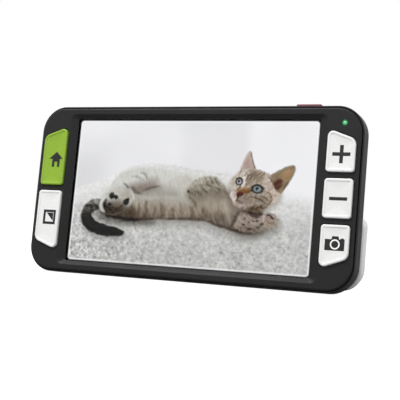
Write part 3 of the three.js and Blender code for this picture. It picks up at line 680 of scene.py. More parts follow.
class Picture:
    """A picture that is painted from soft shapes, fur and grain."""

    def __init__(self, seed):
        self.x, self.y = np.meshgrid(np.linspace(0, SHOWN[0], PICTURE[0]),
                                     np.linspace(0, SHOWN[1], PICTURE[1]))
        self.rgb = np.zeros(self.x.shape + (3,))
        self.random = np.random.default_rng(seed)

    def grain(self, size, stretch=1.0, angle=0.0, octaves=1):
        """Smooth noise of 0 to 1, with features of a size, drawn out along an angle in degrees."""
        c, s = math.cos(math.radians(angle)), math.sin(math.radians(angle))
        u, v = (self.x * c + self.y * s) / (size * stretch), (self.y * c - self.x * s) / size
        total = np.zeros(self.x.shape)
        for octave in range(octaves):
            lattice = self.random.random((LATTICE, LATTICE))
            k = 2 ** octave
            i, j = np.floor(u * k).astype(int), np.floor(v * k).astype(int)
            a, b = u * k - i, v * k - j
            a, b = a * a * (3 - 2 * a), b * b * (3 - 2 * b)
            i0, i1 = i % LATTICE, (i + 1) % LATTICE
            near, far = j % LATTICE, (j + 1) % LATTICE
            top = lattice[near, i0] * (1 - a) + lattice[near, i1] * a
            low = lattice[far, i0] * (1 - a) + lattice[far, i1] * a
            total += (top * (1 - b) + low * b) / k
        return total / sum(0.5 ** octave for octave in range(octaves))

    def area(self, points, soft=0.08, ragged=0.0, hair=(0.06, 4.0, 90.0)):
        """How much of each point lies in a smooth closed outline, with a soft or furry edge."""
        line = flow(points, closed=True)
        ends = np.roll(line, -1, axis=0)
        near = np.full(self.x.shape, FAR)
        inside = np.zeros(self.x.shape, bool)
        window = self.window(line, soft + ragged + 0.5)
        x, y = self.x[window], self.y[window]
        best, within = near[window], inside[window]
        for (x0, y0), (x1, y1) in zip(line, ends):
            best = np.minimum(best, distance(x, y, x0, y0, x1, y1))
            if y0 != y1:
                within ^= ((y0 > y) != (y1 > y)) & (x < (x1 - x0) * (y - y0) / (y1 - y0) + x0)
        near[window], inside[window] = best, within
        signed = np.where(inside, near, -near)
        if ragged:
            signed = signed + (self.grain(*hair) - 0.5) * 2 * ragged
        return np.clip(signed / soft + 0.5, 0, 1)

    def stroke(self, points, soft=0.05, ragged=0.0, hair=(0.05, 3.0, 90.0)):
        """A smooth line of points (x, y, half width), as a share of each point."""
        line = flow(points)
        field = np.full(self.x.shape, -FAR)
        window = self.window(line[:, :2], line[:, 2].max() + soft + ragged)
        x, y = self.x[window], self.y[window]
        best = field[window]
        for (x0, y0, w0), (x1, y1, w1) in zip(line[:-1], line[1:]):
            best = np.maximum(best, (w0 + w1) / 2 - distance(x, y, x0, y0, x1, y1))
        field[window] = best
        if ragged:
            field = field + (self.grain(*hair) - 0.5) * 2 * ragged
        return np.clip(field / soft + 0.5, 0, 1)

    def window(self, line, reach):
        """The rows and columns round a line."""
        step = SHOWN[0] / (PICTURE[0] - 1)
        x0, y0 = np.maximum((line.min(axis=0) - reach) / step, 0).astype(int)
        x1, y1 = ((line.max(axis=0) + reach) / step).astype(int) + 2
        return slice(y0, max(y1, y0)), slice(x0, max(x1, x0))

    def spot(self, x, y, rx, ry, soft=0.05, angle=0.0):
        """An ellipse, as a share of each point."""
        c, s = math.cos(math.radians(angle)), math.sin(math.radians(angle))
        u, v = (self.x - x) * c + (self.y - y) * s, (self.y - y) * c - (self.x - x) * s
        return np.clip((1 - np.hypot(u / rx, v / ry)) * min(rx, ry) / soft + 0.5, 0, 1)

    def lay(self, share, colour, amount=1.0):
        share = (share * amount)[..., None]
        self.rgb = self.rgb * (1 - share) + np.array(colour, float) * share

    def line(self, share, points, soft, colour, amount):
        """Lays a stroke of points (x, y, half width) within a share."""
        self.lay(share * self.stroke(points, soft), colour, amount)

    def patch(self, share, points, soft, colour, amount):
        """Lays a smooth closed patch within a share."""
        self.lay(share * self.area(points, soft), colour, amount)

    def shade(self, share, change):
        """Lightens or darkens by a number of levels."""
        self.rgb += (share * change)[..., None]

    def fur(self, share, depth, size=0.07, stretch=5.0, angle=0.0):
        self.shade(share, (self.grain(size, stretch, angle, 2) - 0.5) * 2 * depth)


def distance(x, y, x0, y0, x1, y1):
    """The distance of points from a straight piece of line."""
    dx, dy = x1 - x0, y1 - y0
    t = np.clip(((x - x0) * dx + (y - y0) * dy) / max(dx * dx + dy * dy, 1e-9), 0, 1)
    return np.hypot(x - x0 - t * dx, y - y0 - t * dy)


def ramp(value, low, high):
    t = np.clip((value - low) / (high - low), 0, 1)
    return t * t * (3 - 2 * t)


def paint_room(p):
    """A pale wall above a pale, speckled rug."""
    right = ramp(p.x, 11.2, 12.2)
    left = ramp(3.6 - p.x, 0, 2.5)
    level = 232 + 11 * right + 10 * left * (1 - ramp(p.y, 0.3, 2.6)) - 8 * left * ramp(p.y, 1.8, 3.4)
    level += 7 * ramp(8.2 - p.x, 0, 1.5) * (1 - left) + 4 * (p.grain(1.6, 1.5) - 0.5)
    p.rgb[:] = level[..., None] + np.array((0, 0, 2.5))
    edge = flow([(-0.5, 4.6), (0.5, 4.3), (1.5, 3.98), (2.5, 3.62), (3.3, 3.2), (4.2, 2.9), (6, 2.75),
                 (9, 3.05), (11, 3.3), (13, 4.0), (14.5, 4.5), (17, 4.9)])
    top = np.interp(p.x, edge[:, 0], edge[:, 1])
    soft = 0.12 + 0.5 * ramp(p.x, 9.0, 15.0)
    ragged = (p.grain(0.12, 1.0, 0, 2) - 0.5) * 0.22
    rug = ramp(p.y + ragged - top, -soft, soft)
    down = ramp(p.y, 3.5, 9.0)
    p.lay(rug, (224, 224, 222))
    p.shade(rug, -12 * ramp(p.y, 5.2, 6.2) - 18 * down)
    pile = p.grain(0.13, 1.5, 24, 2) - 0.5 + 0.8 * (p.grain(0.1, 1.3, -30) - 0.5)
    depth = 18 + 20 * ramp(p.y, 4.2, 8.6) + 34 * ramp(10.5 - p.x, 3.0, 11.0) * ramp(p.y, 4.5, 7.5)
    p.shade(rug, pile * depth + (p.grain(0.8, 1.6, 10, 2) - 0.5) * 14 * down)
    pits = np.clip(p.grain(0.12, 1.3, 15, 2) - 0.62, 0, 1) * 4
    p.shade(rug, -pits * (10 + 26 * ramp(p.y, 5.0, 8.5)))
    p.shade(rug * ramp(1.2 - (p.y - top), 0, 1.0) * ramp(6.0 - p.x, 0, 3.0), 10)


def paint_tail(p):
    """Dark, with two paler rings near its root."""
    tail = [(2.3, 5.35, 0.3), (1.55, 5.45, 0.36), (1.12, 5.85, 0.38), (1.15, 6.4, 0.4), (1.6, 6.78, 0.38),
            (2.3, 6.98, 0.34), (3.0, 7.07, 0.3), (3.55, 7.1, 0.2), (3.8, 7.12, 0.1)]
    p.line(1, [(x + 0.1, y + 0.2, w) for x, y, w in tail], 0.5, (120, 118, 114), 0.6)
    share = p.stroke(tail, 0.1, 0.06, (0.07, 2.0, 60))
    p.lay(share, (122, 120, 114))
    dark = ramp(p.y + 0.25 * p.x, 5.7, 6.7)
    p.lay(share * dark, (30, 29, 26))
    p.line(share, [(1.0, 5.55, 0.08), (1.5, 5.5, 0.12), (2.0, 5.75, 0.14), (2.1, 5.9, 0.1)], 0.12,
           (58, 55, 50), 0.85)
    p.line(share, [(0.85, 6.1, 0.05), (1.2, 6.25, 0.14), (1.6, 6.15, 0.1)], 0.12, (60, 58, 52), 0.7)
    p.fur(share * (1 - 0.6 * dark), 60, 0.12, 2.0, 55)


def paint_body(p):
    """A pale belly above brown, striped flanks."""
    body = [(2.0, 5.3), (2.2, 4.7), (2.6, 4.2), (2.95, 3.7), (3.4, 3.3), (4.1, 3.05), (5.0, 2.98),
            (6.0, 3.02), (7.0, 3.15), (8.0, 3.3), (9.0, 3.45), (9.9, 3.6), (10.6, 3.9), (11.2, 4.6),
            (12.2, 5.0), (12.9, 5.6), (12.9, 6.3), (12.3, 6.66), (11.4, 6.6), (10.4, 6.36), (9.4, 6.1),
            (8.0, 6.03), (6.5, 6.08), (5.0, 6.2), (4.0, 6.26), (3.0, 6.15), (2.3, 5.95)]
    p.lay(p.area([(x + 0.1, y + 0.3) for x, y in body], 0.9) * ramp(p.y, 5.2, 6.1), (96, 90, 82), 0.62)
    share = p.area(body, 0.22, 0.07)
    p.lay(share, (209, 210, 203))
    p.lay(share * ramp(p.y, 3.5, 4.7) * ramp(p.x, 3.6, 4.6), (182, 178, 168), 0.9)
    p.lay(share * ramp(p.x, 7.6, 9.2) * ramp(p.y, 3.8, 4.6), (152, 141, 126), 0.8)
    p.lay(share * ramp(p.y, 4.7, 5.6) * ramp(p.x, 3.0, 4.0), (146, 133, 118), 0.85)
    p.patch(share, [(9.6, 5.3), (10.6, 5.0), (11.2, 5.4), (11.0, 6.2), (10.0, 6.1)], 0.6, (176, 166, 152),
            0.6)
    p.lay(share * ramp(p.y + 0.1 * abs(p.x - 7), 5.6, 6.3), (92, 80, 70), 0.75)
    stripes = [(4.15, 5.1, 4.4, 6.2, 0.16), (4.75, 5.25, 4.7, 6.2, 0.1), (5.25, 5.2, 5.3, 6.1, 0.13),
               (5.85, 5.3, 5.95, 6.1, 0.1), (6.2, 5.1, 6.5, 6.1, 0.16), (7.05, 5.35, 7.15, 6.05, 0.1),
               (7.6, 5.2, 7.7, 6.0, 0.08), (8.35, 5.3, 8.45, 6.05, 0.15), (9.1, 5.4, 9.3, 6.1, 0.09),
               (10.1, 5.2, 10.3, 6.3, 0.1), (8.2, 4.7, 8.6, 5.2, 0.1)]
    for x0, y0, x1, y1, w in stripes:
        line = [(x0, y0, w * 0.4), ((x0 + x1) / 2 + 0.06, (y0 + y1) / 2, w), (x1, y1, w)]
        p.lay(share * p.stroke(line, 0.16, 0.12, (0.12, 1.5, 80)), (98, 86, 74), 0.6)
    p.patch(share,
            [(4.0, 4.15), (4.7, 3.95), (5.3, 3.72), (5.85, 3.65), (5.95, 4.0), (6.1, 4.2), (5.4, 4.4),
             (4.9, 4.6), (4.45, 4.7), (4.15, 4.5)], 0.5, (150, 138, 130), 0.75)
    folds = [([(5.0, 4.4, 0.05), (5.5, 4.22, 0.07), (6.0, 4.12, 0.04)], (112, 98, 92), 0.75),
             ([(4.2, 4.25, 0.1), (4.45, 4.55, 0.12), (4.8, 4.6, 0.05)], (112, 100, 94), 0.6),
             ([(4.7, 3.3, 0.03), (5.0, 3.4, 0.05), (5.15, 3.65, 0.03)], (132, 134, 130), 0.75),
             ([(4.1, 3.55, 0.04), (4.5, 3.58, 0.07), (4.9, 3.75, 0.04)], (158, 160, 156), 0.7),
             ([(6.7, 3.85, 0.1), (7.4, 3.7, 0.3), (8.2, 3.75, 0.1)], (190, 183, 172), 0.4),
             ([(4.4, 4.7, 0.06), (5.2, 4.85, 0.12), (6.6, 4.75, 0.12), (7.4, 4.8, 0.05)],
              (200, 196, 187), 0.7),
             ([(3.6, 4.02, 0.03), (3.8, 4.18, 0.05), (3.97, 4.38, 0.03)], (84, 84, 80), 0.85)]
    for line, colour, amount in folds:
        p.line(share, line, 0.14, colour, amount)
    p.fur(share, 13, 0.07, 5.0, 75)
    p.fur(share * ramp(p.y, 4.6, 6.0), 24, 0.1, 2.5, 75)
    under = [(2.1, 5.85, 0.05), (2.6, 6.05, 0.1), (3.3, 6.16, 0.1), (4.2, 6.26, 0.09), (5.2, 6.2, 0.06),
             (6.5, 6.1, 0.05), (8.0, 6.04, 0.05), (9.2, 6.06, 0.05), (10.2, 6.33, 0.06), (11.2, 6.56, 0.07),
             (12.2, 6.68, 0.07), (12.7, 6.6, 0.04)]
    p.lay(p.stroke(under, 0.16, 0.05, (0.12, 2.0, 0)), (58, 48, 42), 0.85)


def paint_hind_paws(p):
    sole = [(2.0, 5.35), (2.2, 4.85), (2.6, 4.5), (3.2, 4.2), (3.9, 4.35), (4.35, 4.8), (4.3, 5.2),
            (3.9, 5.6), (3.2, 5.95), (2.5, 6.0), (2.1, 5.8)]
    share = p.area(sole, 0.14, 0.05)
    p.lay(share, (196, 195, 188))
    p.lay(share * ramp(p.y - 0.2 * (p.x - 3), 5.05, 5.65), (84, 75, 66), 0.88)
    p.patch(share, [(2.9, 5.1), (3.5, 5.0), (3.8, 5.35), (3.4, 5.7), (3.0, 5.6)], 0.4, (138, 127, 113), 0.6)
    p.patch(share, [(3.3, 4.5), (3.8, 4.5), (4.2, 4.8), (4.1, 4.95), (3.5, 4.85)], 0.3, (186, 177, 162), 0.7)
    p.line(1, [(2.25, 4.95, 0.05), (2.06, 5.3, 0.12), (2.12, 5.65, 0.13), (2.35, 5.85, 0.05)], 0.12,
           (238, 238, 234), 0.95)
    p.line(1, [(3.95, 4.35, 0.04), (4.25, 4.62, 0.07), (4.38, 4.95, 0.04)], 0.12, (232, 230, 222), 0.8)
    dark = [(2.6, 4.72), (2.74, 4.58), (2.9, 4.64), (3.0, 4.76), (3.2, 4.82), (3.24, 4.95), (2.95, 5.0),
            (2.65, 4.97)]
    p.lay(p.area(dark, 0.1, 0.04), (38, 37, 35), 0.95)
    for x, y, rx, ry in ((3.84, 5.18, 0.2, 0.19), (3.95, 5.02, 0.12, 0.1), (2.68, 5.36, 0.12, 0.08)):
        p.lay(p.spot(x, y, rx, ry, 0.08), (46, 41, 37), 0.92)
    p.line(1, [(2.4, 5.12, 0.06), (2.3, 5.35, 0.07), (2.4, 5.55, 0.08), (2.7, 5.6, 0.05)], 0.1, (74, 73, 70),
           0.85)
    p.line(1, [(3.1, 5.65, 0.04), (3.4, 5.55, 0.06), (3.65, 5.35, 0.04)], 0.1, (92, 80, 68), 0.7)
    p.fur(share, 16, 0.07, 2.5, 40)


def paint_raised_arm(p):
    arm = [(7.98, 4.28), (8.1, 3.98), (8.45, 3.66), (9.0, 3.46), (9.6, 3.4), (10.0, 3.62), (10.35, 4.0),
           (10.6, 4.4), (10.0, 4.5), (9.4, 4.4), (8.9, 4.66), (8.4, 4.6), (8.1, 4.48)]
    share = p.area(arm, 0.14, 0.08, (0.06, 3.0, 60))
    p.lay(p.area([(x, y + 0.25) for x, y in arm], 0.5) * ramp(p.y, 3.9, 4.4), (104, 94, 82), 0.6)
    p.lay(share, (156, 149, 135))
    p.lay(share * ramp(p.y, 4.0, 4.5), (112, 102, 88), 0.7)
    p.line(share, [(8.2, 4.02, 0.08), (8.8, 3.68, 0.12), (9.5, 3.5, 0.1), (9.95, 3.7, 0.06)], 0.2,
           (194, 190, 178), 0.75)
    for x0, y0, x1, y1 in ((9.1, 3.55, 9.25, 3.85), (9.4, 3.5, 9.6, 3.8), (9.7, 3.5, 9.95, 3.85),
                           (8.6, 4.35, 8.9, 4.5), (9.0, 4.15, 9.3, 4.4), (9.1, 3.9, 9.5, 3.98),
                           (9.6, 4.0, 10.1, 4.2), (8.25, 4.4, 8.5, 4.55)):
        p.lay(share * p.stroke([(x0, y0, 0.03), (x1, y1, 0.05)], 0.1, 0.04), (78, 70, 60), 0.7)
    p.lay(p.spot(8.05, 4.36, 0.08, 0.1, 0.08), (62, 56, 48), 0.8)
    p.fur(share, 34, 0.06, 3.0, 60)


def paint_chest(p):
    p.line(1, [(10.0, 4.15, 0.05), (10.5, 4.35, 0.08), (10.85, 4.75, 0.06), (11.05, 5.1, 0.05)], 0.16,
           (112, 100, 94), 0.75)
    p.patch(1, [(10.7, 4.9), (11.3, 5.2), (12.1, 5.4), (12.5, 5.7), (11.8, 5.8), (11.0, 5.6)], 0.3,
            (136, 124, 112), 0.8)
    p.line(1, [(10.4, 4.9, 0.1), (10.7, 5.5, 0.16), (10.9, 6.1, 0.1)], 0.3, (176, 166, 152), 0.6)


def paint_front_paws(p):
    paw = [(11.15, 5.75), (11.6, 5.5), (12.3, 5.65), (12.9, 5.5), (13.5, 5.45), (13.88, 5.72), (13.9, 6.1),
           (13.6, 6.38), (13.0, 6.55), (12.4, 6.66), (11.6, 6.58), (11.15, 6.3)]
    p.patch(1, [(x + 0.1, y + 0.25) for x, y in paw], 0.6, (104, 99, 90), 0.6)
    share = p.area(paw, 0.12, 0.07, (0.06, 3.0, 70))
    p.lay(share, (158, 145, 134))
    p.patch(share, [(12.9, 5.7), (13.5, 5.65), (13.75, 5.95), (13.4, 6.2), (12.95, 6.1)], 0.25,
            (150, 130, 118), 0.85)
    p.lay(share * ramp(p.y + 0.35 * p.x, 10.75, 11.1), (134, 130, 116), 0.7)
    p.line(1, [(11.42, 5.5, 0.08), (11.25, 5.85, 0.12), (11.12, 6.25, 0.1)], 0.12, (78, 68, 60), 0.8)
    p.line(1, [(12.05, 5.4, 0.05), (12.3, 5.6, 0.11), (12.6, 5.68, 0.12), (12.85, 5.55, 0.06)], 0.12,
           (66, 56, 56), 0.9)
    spots = [(12.64, 5.96, 0.1, 0.07), (12.4, 5.98, 0.08, 0.05), (12.92, 6.14, 0.12, 0.08),
             (12.75, 6.3, 0.09, 0.05), (11.85, 5.85, 0.07, 0.05), (11.8, 6.2, 0.08, 0.07),
             (12.2, 6.45, 0.1, 0.06), (12.1, 6.05, 0.05, 0.06)]
    for x, y, rx, ry in spots:
        p.lay(p.spot(x, y, rx, ry, 0.09), (66, 56, 54), 0.8)
    p.line(1, [(13.2, 5.6, 0.03), (13.4, 5.62, 0.05), (13.6, 5.78, 0.04)], 0.06, (44, 38, 36), 0.9)
    p.line(1, [(13.0, 5.62, 0.04), (13.05, 5.85, 0.04), (13.0, 6.0, 0.03)], 0.08, (222, 212, 204), 0.7)
    p.fur(share, 34, 0.07, 2.0, 30)


def paint_left_ear(p):
    left = [(11.33, 2.98), (11.4, 2.6), (11.55, 2.2), (11.74, 1.88), (11.88, 1.84), (12.0, 2.1), (12.12, 2.5),
            (12.28, 2.9), (11.8, 3.2)]
    share = p.area(left, 0.07, 0.02)
    p.lay(share, (184, 166, 156))
    p.line(share, [(11.42, 2.85, 0.03), (11.55, 2.3, 0.04), (11.8, 1.9, 0.03)], 0.08, (212, 202, 192), 0.8)
    p.line(share, [(11.9, 1.92, 0.03), (12.03, 2.3, 0.05), (12.2, 2.85, 0.04)], 0.08, (124, 110, 102), 0.85)
    p.patch(share, [(11.5, 2.95), (11.6, 2.5), (11.8, 2.35), (11.95, 2.7), (11.95, 3.0)], 0.25,
            (172, 146, 138), 0.8)
    p.fur(share, 14, 0.05, 5.0, -70)


def paint_right_ear(p):
    right = [(13.25, 3.25), (13.6, 3.02), (14.0, 2.8), (14.36, 2.64), (14.62, 2.64), (14.72, 2.85),
             (14.62, 3.25), (14.4, 3.65), (14.15, 4.05), (13.95, 4.3), (13.72, 4.2), (13.52, 3.95),
             (13.38, 3.6)]
    share = p.area(right, 0.09, 0.02)
    p.lay(share, (138, 121, 98))
    p.patch(share, [(14.0, 3.0), (14.5, 2.8), (14.55, 3.1), (14.3, 3.5), (14.0, 3.5)], 0.25, (166, 134, 98),
            0.85)
    p.line(share, [(13.4, 3.2, 0.05), (13.9, 2.92, 0.07), (14.4, 2.72, 0.05)], 0.12, (140, 130, 110), 0.8)
    p.patch(share, [(13.45, 3.7), (13.75, 3.45), (14.0, 3.55), (13.95, 3.85), (13.72, 4.12), (13.5, 3.95)],
            0.16, (84, 50, 44), 0.92)
    p.line(share, [(14.1, 4.0, 0.03), (14.2, 3.8, 0.05), (14.35, 3.6, 0.03)], 0.08, (78, 66, 54), 0.8)
    p.line(share, [(14.66, 2.75, 0.03), (14.64, 3.1, 0.04), (14.45, 3.5, 0.03)], 0.06, (148, 140, 122), 0.8)
    p.fur(share, 18, 0.05, 5.0, -35)


def paint_head(p):
    head = [(11.3, 2.98), (11.1, 3.2), (10.9, 3.42), (10.74, 3.66), (10.82, 4.05), (10.86, 4.3), (10.76, 4.5),
            (10.92, 4.78), (11.08, 5.02), (11.4, 5.22), (11.9, 5.36), (12.4, 5.42), (12.9, 5.3),
            (13.35, 5.05), (13.72, 4.75), (13.95, 4.38), (13.9, 4.0), (13.6, 3.55), (13.3, 3.25),
            (12.9, 3.06), (12.5, 2.96), (12.2, 2.86), (11.7, 2.9)]
    p.patch(1, [(x, y + 0.2) for x, y in head], 0.5, (92, 82, 74), 0.5)
    share = p.area(head, 0.1, 0.05, (0.06, 3.0, 60))
    p.lay(share, (190, 178, 165))
    p.lay(share * ramp(p.y - 0.2 * (p.x - 12), 4.6, 5.3), (150, 136, 120), 0.7)
    patches = [([(11.75, 3.9), (11.75, 3.3), (12.1, 3.0), (12.6, 3.0), (12.9, 3.2), (12.7, 3.65),
                 (12.2, 3.75)], 0.3, (150, 134, 116), 0.85),
               ([(11.5, 3.15), (11.68, 3.2), (11.7, 3.7), (11.55, 4.0), (11.45, 3.9), (11.55, 3.5)], 0.12,
                (226, 220, 218), 0.9),
               ([(10.8, 4.35), (11.1, 4.3), (11.25, 4.6), (11.2, 4.85), (10.95, 4.8)], 0.14, (226, 216, 208),
                0.9),
               ([(11.1, 4.9), (11.7, 4.85), (12.2, 5.0), (12.0, 5.25), (11.4, 5.18)], 0.2, (194, 176, 168),
                0.85),
               ([(12.0, 5.2), (12.5, 5.05), (13.1, 5.0), (13.2, 5.2), (12.6, 5.42), (12.1, 5.38)], 0.2,
                (122, 108, 90), 0.75),
               ([(13.0, 3.6), (13.5, 3.75), (13.85, 4.2), (13.6, 4.6), (13.3, 4.4), (13.0, 4.0)], 0.25,
                (190, 174, 160), 0.9),
               ([(11.18, 4.16), (11.55, 4.0), (12.0, 4.02), (12.1, 4.2), (11.9, 4.38), (11.6, 4.34),
                 (11.3, 4.3)], 0.2, (146, 108, 70), 0.85),
               ([(11.2, 4.36), (11.36, 4.24), (11.6, 4.3), (11.64, 4.46), (11.44, 4.54), (11.3, 4.62)], 0.09,
                (112, 64, 50), 0.92)]
    for patch in patches:
        p.patch(share, *patch)
    p.fur(share, 34, 0.07, 2.2, -50)
    p.fur(share, 18, 0.045, 3.0, 35)
    brown, dark = (80, 64, 50), (52, 44, 40)
    marks = [([(11.72, 3.62), (11.8, 3.4), (11.98, 3.15)], 0.035, brown),
             ([(11.92, 3.55), (12.0, 3.35), (12.14, 3.12)], 0.03, brown),
             ([(12.02, 3.5), (12.2, 3.25), (12.4, 3.08)], 0.035, brown),
             ([(12.2, 3.5), (12.38, 3.3), (12.62, 3.12)], 0.035, brown),
             ([(12.35, 3.55), (12.6, 3.36), (12.88, 3.14)], 0.035, brown),
             ([(12.42, 3.68), (12.66, 3.52)], 0.03, brown),
             ([(11.74, 3.82), (11.9, 3.62)], 0.03, brown),
             ([(11.6, 3.3), (11.72, 3.12)], 0.03, dark),
             ([(13.1, 3.35), (13.3, 3.5), (13.42, 3.75)], 0.05, brown),
             ([(13.2, 3.65), (13.4, 3.42)], 0.03, brown),
             ([(13.0, 4.2), (13.3, 4.36), (13.42, 4.7), (13.2, 5.0)], 0.045, (98, 78, 58)),
             ([(12.1, 4.52), (12.6, 4.64), (13.0, 4.86), (13.3, 5.0)], 0.035, (100, 82, 62)),
             ([(12.85, 4.5), (13.1, 4.62), (13.25, 4.85)], 0.03, (108, 90, 68)),
             ([(11.42, 3.84), (11.36, 4.0), (11.22, 4.14)], 0.035, dark),
             ([(11.28, 4.58), (11.25, 4.78)], 0.035, (60, 42, 38)),
             ([(11.2, 4.78), (11.4, 4.86), (11.62, 4.98)], 0.03, (116, 94, 84)),
             ([(11.98, 4.28), (12.12, 4.16), (12.26, 4.02)], 0.04, dark),
             ([(12.7, 3.92), (12.85, 4.0), (12.98, 4.1)], 0.03, (86, 72, 60)),
             ([(11.36, 3.0), (11.3, 3.15), (11.24, 3.3)], 0.03, (96, 84, 76))]
    for points, width, colour in marks:
        line = [(x, y, width * (0.5 if i in (0, len(points) - 1) else 1)) for i, (x, y) in enumerate(points)]
        p.lay(p.stroke(line, 0.09, 0.02), colour, 0.7)


def paint_eyes(p):
    for x, y, rx, ry, angle, iris in ((11.3, 3.66, 0.24, 0.23, 0, (176, 172, 182)),
                                      (12.48, 4.07, 0.4, 0.27, 6, (132, 142, 144))):
        p.lay(p.spot(x, y, rx, ry, 0.09, angle), (30, 28, 26), 0.95)
        p.lay(p.spot(x, y + 0.01, rx * 0.66, ry * 0.68, 0.07, angle), iris)
        p.lay(p.spot(x - 0.01, y - 0.01, ry * 0.34, ry * 0.36, 0.06), (20, 22, 26), 0.95)
        p.lay(p.spot(x + 0.06, y + 0.05, 0.05, 0.035, 0.05), (196, 202, 206), 0.7)
    p.line(1, [(11.1, 3.5, 0.02), (11.3, 3.42, 0.03), (11.5, 3.52, 0.02)], 0.05, (60, 54, 52), 0.8)
    p.line(1, [(12.1, 3.98, 0.02), (12.45, 3.8, 0.035), (12.82, 3.98, 0.02)], 0.05, (52, 46, 42), 0.85)


def paint_shadows(p):
    """Broad shadows over the finished figure: how far each area's tone drops."""
    areas = [([(2.0, 5.2), (4.0, 5.2), (4.4, 6.1), (2.2, 6.1)], 0.5, 38),
             ([(1.8, 6.0), (3.0, 6.2), (5.8, 6.2), (5.6, 6.55), (3.0, 6.6), (2.0, 6.4)], 0.3, 48),
             ([(4.0, 4.1), (6.9, 4.2), (7.0, 4.9), (4.1, 4.9)], 0.6, 22),
             ([(11.1, 4.3), (12.8, 4.3), (13.3, 4.7), (12.8, 5.1), (11.5, 5.05), (11.1, 4.7)], 0.4, 44),
             ([(11.6, 5.15), (12.9, 5.2), (12.9, 5.5), (11.8, 5.5)], 0.25, 40),
             ([(11.4, 6.3), (13.0, 6.3), (12.9, 6.75), (11.4, 6.75)], 0.25, 28)]
    for points, soft, drop in areas:
        p.shade(p.area(points, soft), -drop)


def paint_rim(p):
    """A bright line round the picture, inside its black rounded border."""
    inset = np.minimum(np.minimum(p.x, SHOWN[0] - p.x), np.minimum(p.y, SHOWN[1] - p.y))
    p.lay(ramp(0.16 - inset, 0.0, 0.08), (250, 250, 250), 0.75)
    r = 0.22
    dx, dy = abs(p.x - SHOWN[0] / 2) - (SHOWN[0] / 2 - r), abs(p.y - SHOWN[1] / 2) - (SHOWN[1] / 2 - r)
    corner = np.hypot(np.maximum(dx, 0), np.maximum(dy, 0)) - r
    p.lay(ramp(corner, -0.05, 0.03), (6, 6, 7))


def screen_picture():
    """A kitten lying on a rug, as linear colours in rows from the top."""
    p = Picture(seed=7)
    for paint in (paint_room, paint_tail, paint_body, paint_hind_paws, paint_raised_arm, paint_chest,
                  paint_front_paws, paint_left_ear, paint_head, paint_right_ear, paint_shadows, paint_eyes,
                  paint_rim):
        paint(p)
    return np.clip(to_linear(np.clip(p.rgb, 0, 255) / 255) - GLASS_HAZE, 0.001, 1)


# ---------------------------------------------------------------- the screen

GLOW = dict(y0=3.02, y1=3.06)


def display(colours):
    """The lit picture: a thin closed slab whose front carries a colour at each of its points."""
    rows, columns = colours.shape[:2]
    half_w, half_h = SCREEN["half_w"], SCREEN["half_h"]
    xs, zs = np.linspace(-half_w, half_w, columns), np.linspace(half_h, -half_h, rows)
    front = [(x, GLOW["y0"], z) for z in zs for x in xs]
    faces = [
        (j * columns + i, j * columns + columns + i, j * columns + columns + i + 1, j * columns + i + 1)
        for j in range(rows - 1) for i in range(columns - 1)
    ]
    last = rows * columns
    rim = list(range(columns)) + [j * columns + columns - 1 for j in range(1, rows)]
    rim += [last - 1 - i for i in range(1, columns)] + [j * columns for j in range(rows - 2, 0, -1)]
    back = [(front[k][0], GLOW["y1"], front[k][2]) for k in rim]
    n = len(rim)
    faces += [(rim[k], rim[(k + 1) % n], last + (k + 1) % n, last + k) for k in range(n)]
    faces.append(tuple(range(last, last + n)))
    mesh = bpy.data.meshes.new("display_picture")
    mesh.from_pydata(front + back, [], faces)
    picture = mesh.color_attributes.new("picture", "FLOAT_COLOR", "POINT")
    rgba = np.ones((len(mesh.vertices), 4))
    rgba[:last, :3] = colours.reshape(-1, 3)
    rgba[last:, :3] = 0.01
    picture.data.foreach_set("color", rgba.ravel())
    place(linked("display_picture", mesh), "housing", "display", lit_display("display_pixels"))


def lit_display(name):
    n = Nodes(name)
    colour = n.add("ShaderNodeVertexColor", layer_name="picture").outputs["Color"]
    pixels = n.span(n.cells(0.12), 0.0, 0.7, 1.0, 0.97)
    shown = n.add("ShaderNodeVectorMath", {0: colour}, operation="SCALE")
    n.feed(shown.inputs["Scale"], pixels)
    n.set(Base_Color=(0.004, 0.004, 0.004, 1), Emission_Color=shown.outputs[0], Emission_Strength=1.0)
    n.set(Roughness=0.4, Specular_IOR_Level=0.1)
    return n.material


# ---------------------------------------------------------------- keys and their icons

DISH = dict(rim=0.4, step=0.95, slope=0.22, drop=0.2, depth=0.24, reach=4.8)
ICON_THICK = 0.12


def dish(distance):
    """How far a key's face lies behind its rim, by distance from the key's outline."""
    drop = np.clip((distance - DISH["step"]) / DISH["slope"], 0, 1)
    share = np.clip((distance - DISH["step"]) / (DISH["reach"] - DISH["step"]), 0, 1)
    return DISH["drop"] * drop + DISH["depth"] * np.sin(share * math.pi / 2)


def key_face(corners, x, z):
    """The Y of a key's face at a point."""
    points = np.array(outline(corners, 0, 10))
    ends = np.roll(points, -1, axis=0)
    along = ends - points
    length = np.linalg.norm(along, axis=1)
    keep = length > 1e-6
    points, along, length = points[keep], along[keep], length[keep]
    inside = (along[:, 0] * (z - points[:, 1]) - along[:, 1] * (x - points[:, 0])) / length
    return -KEY["proud"] + dish(inside.min())


def key_cap(name, material, slot):
    proud, rim = KEY["proud"], DISH["rim"]
    insets = [5.4, 4.6, 3.8, 3.0, 2.3, 1.7, 1.3, 1.19, 1.15, 1.06, 0.97, 0.92, 0.7, 0.5]
    rings = [(-proud + float(dish(i)), i) for i in insets]
    angles = np.linspace(math.pi / 2, 0.1, 7)
    rings += [(-proud + rim - rim * math.sin(a), rim - rim * math.cos(a)) for a in angles]
    y, out, thick = KEY_FLANGE["y"], KEY_FLANGE["out"], KEY_FLANGE["thick"]
    rings += [(0.2, 0), (y, 0), (y, -out + 0.1), (y + 0.1, -out), (y + thick, -out)]
    piece(name + "_key_cap", loft(KEYS[name], rings), name + "_key", slot, material, name + "_button")


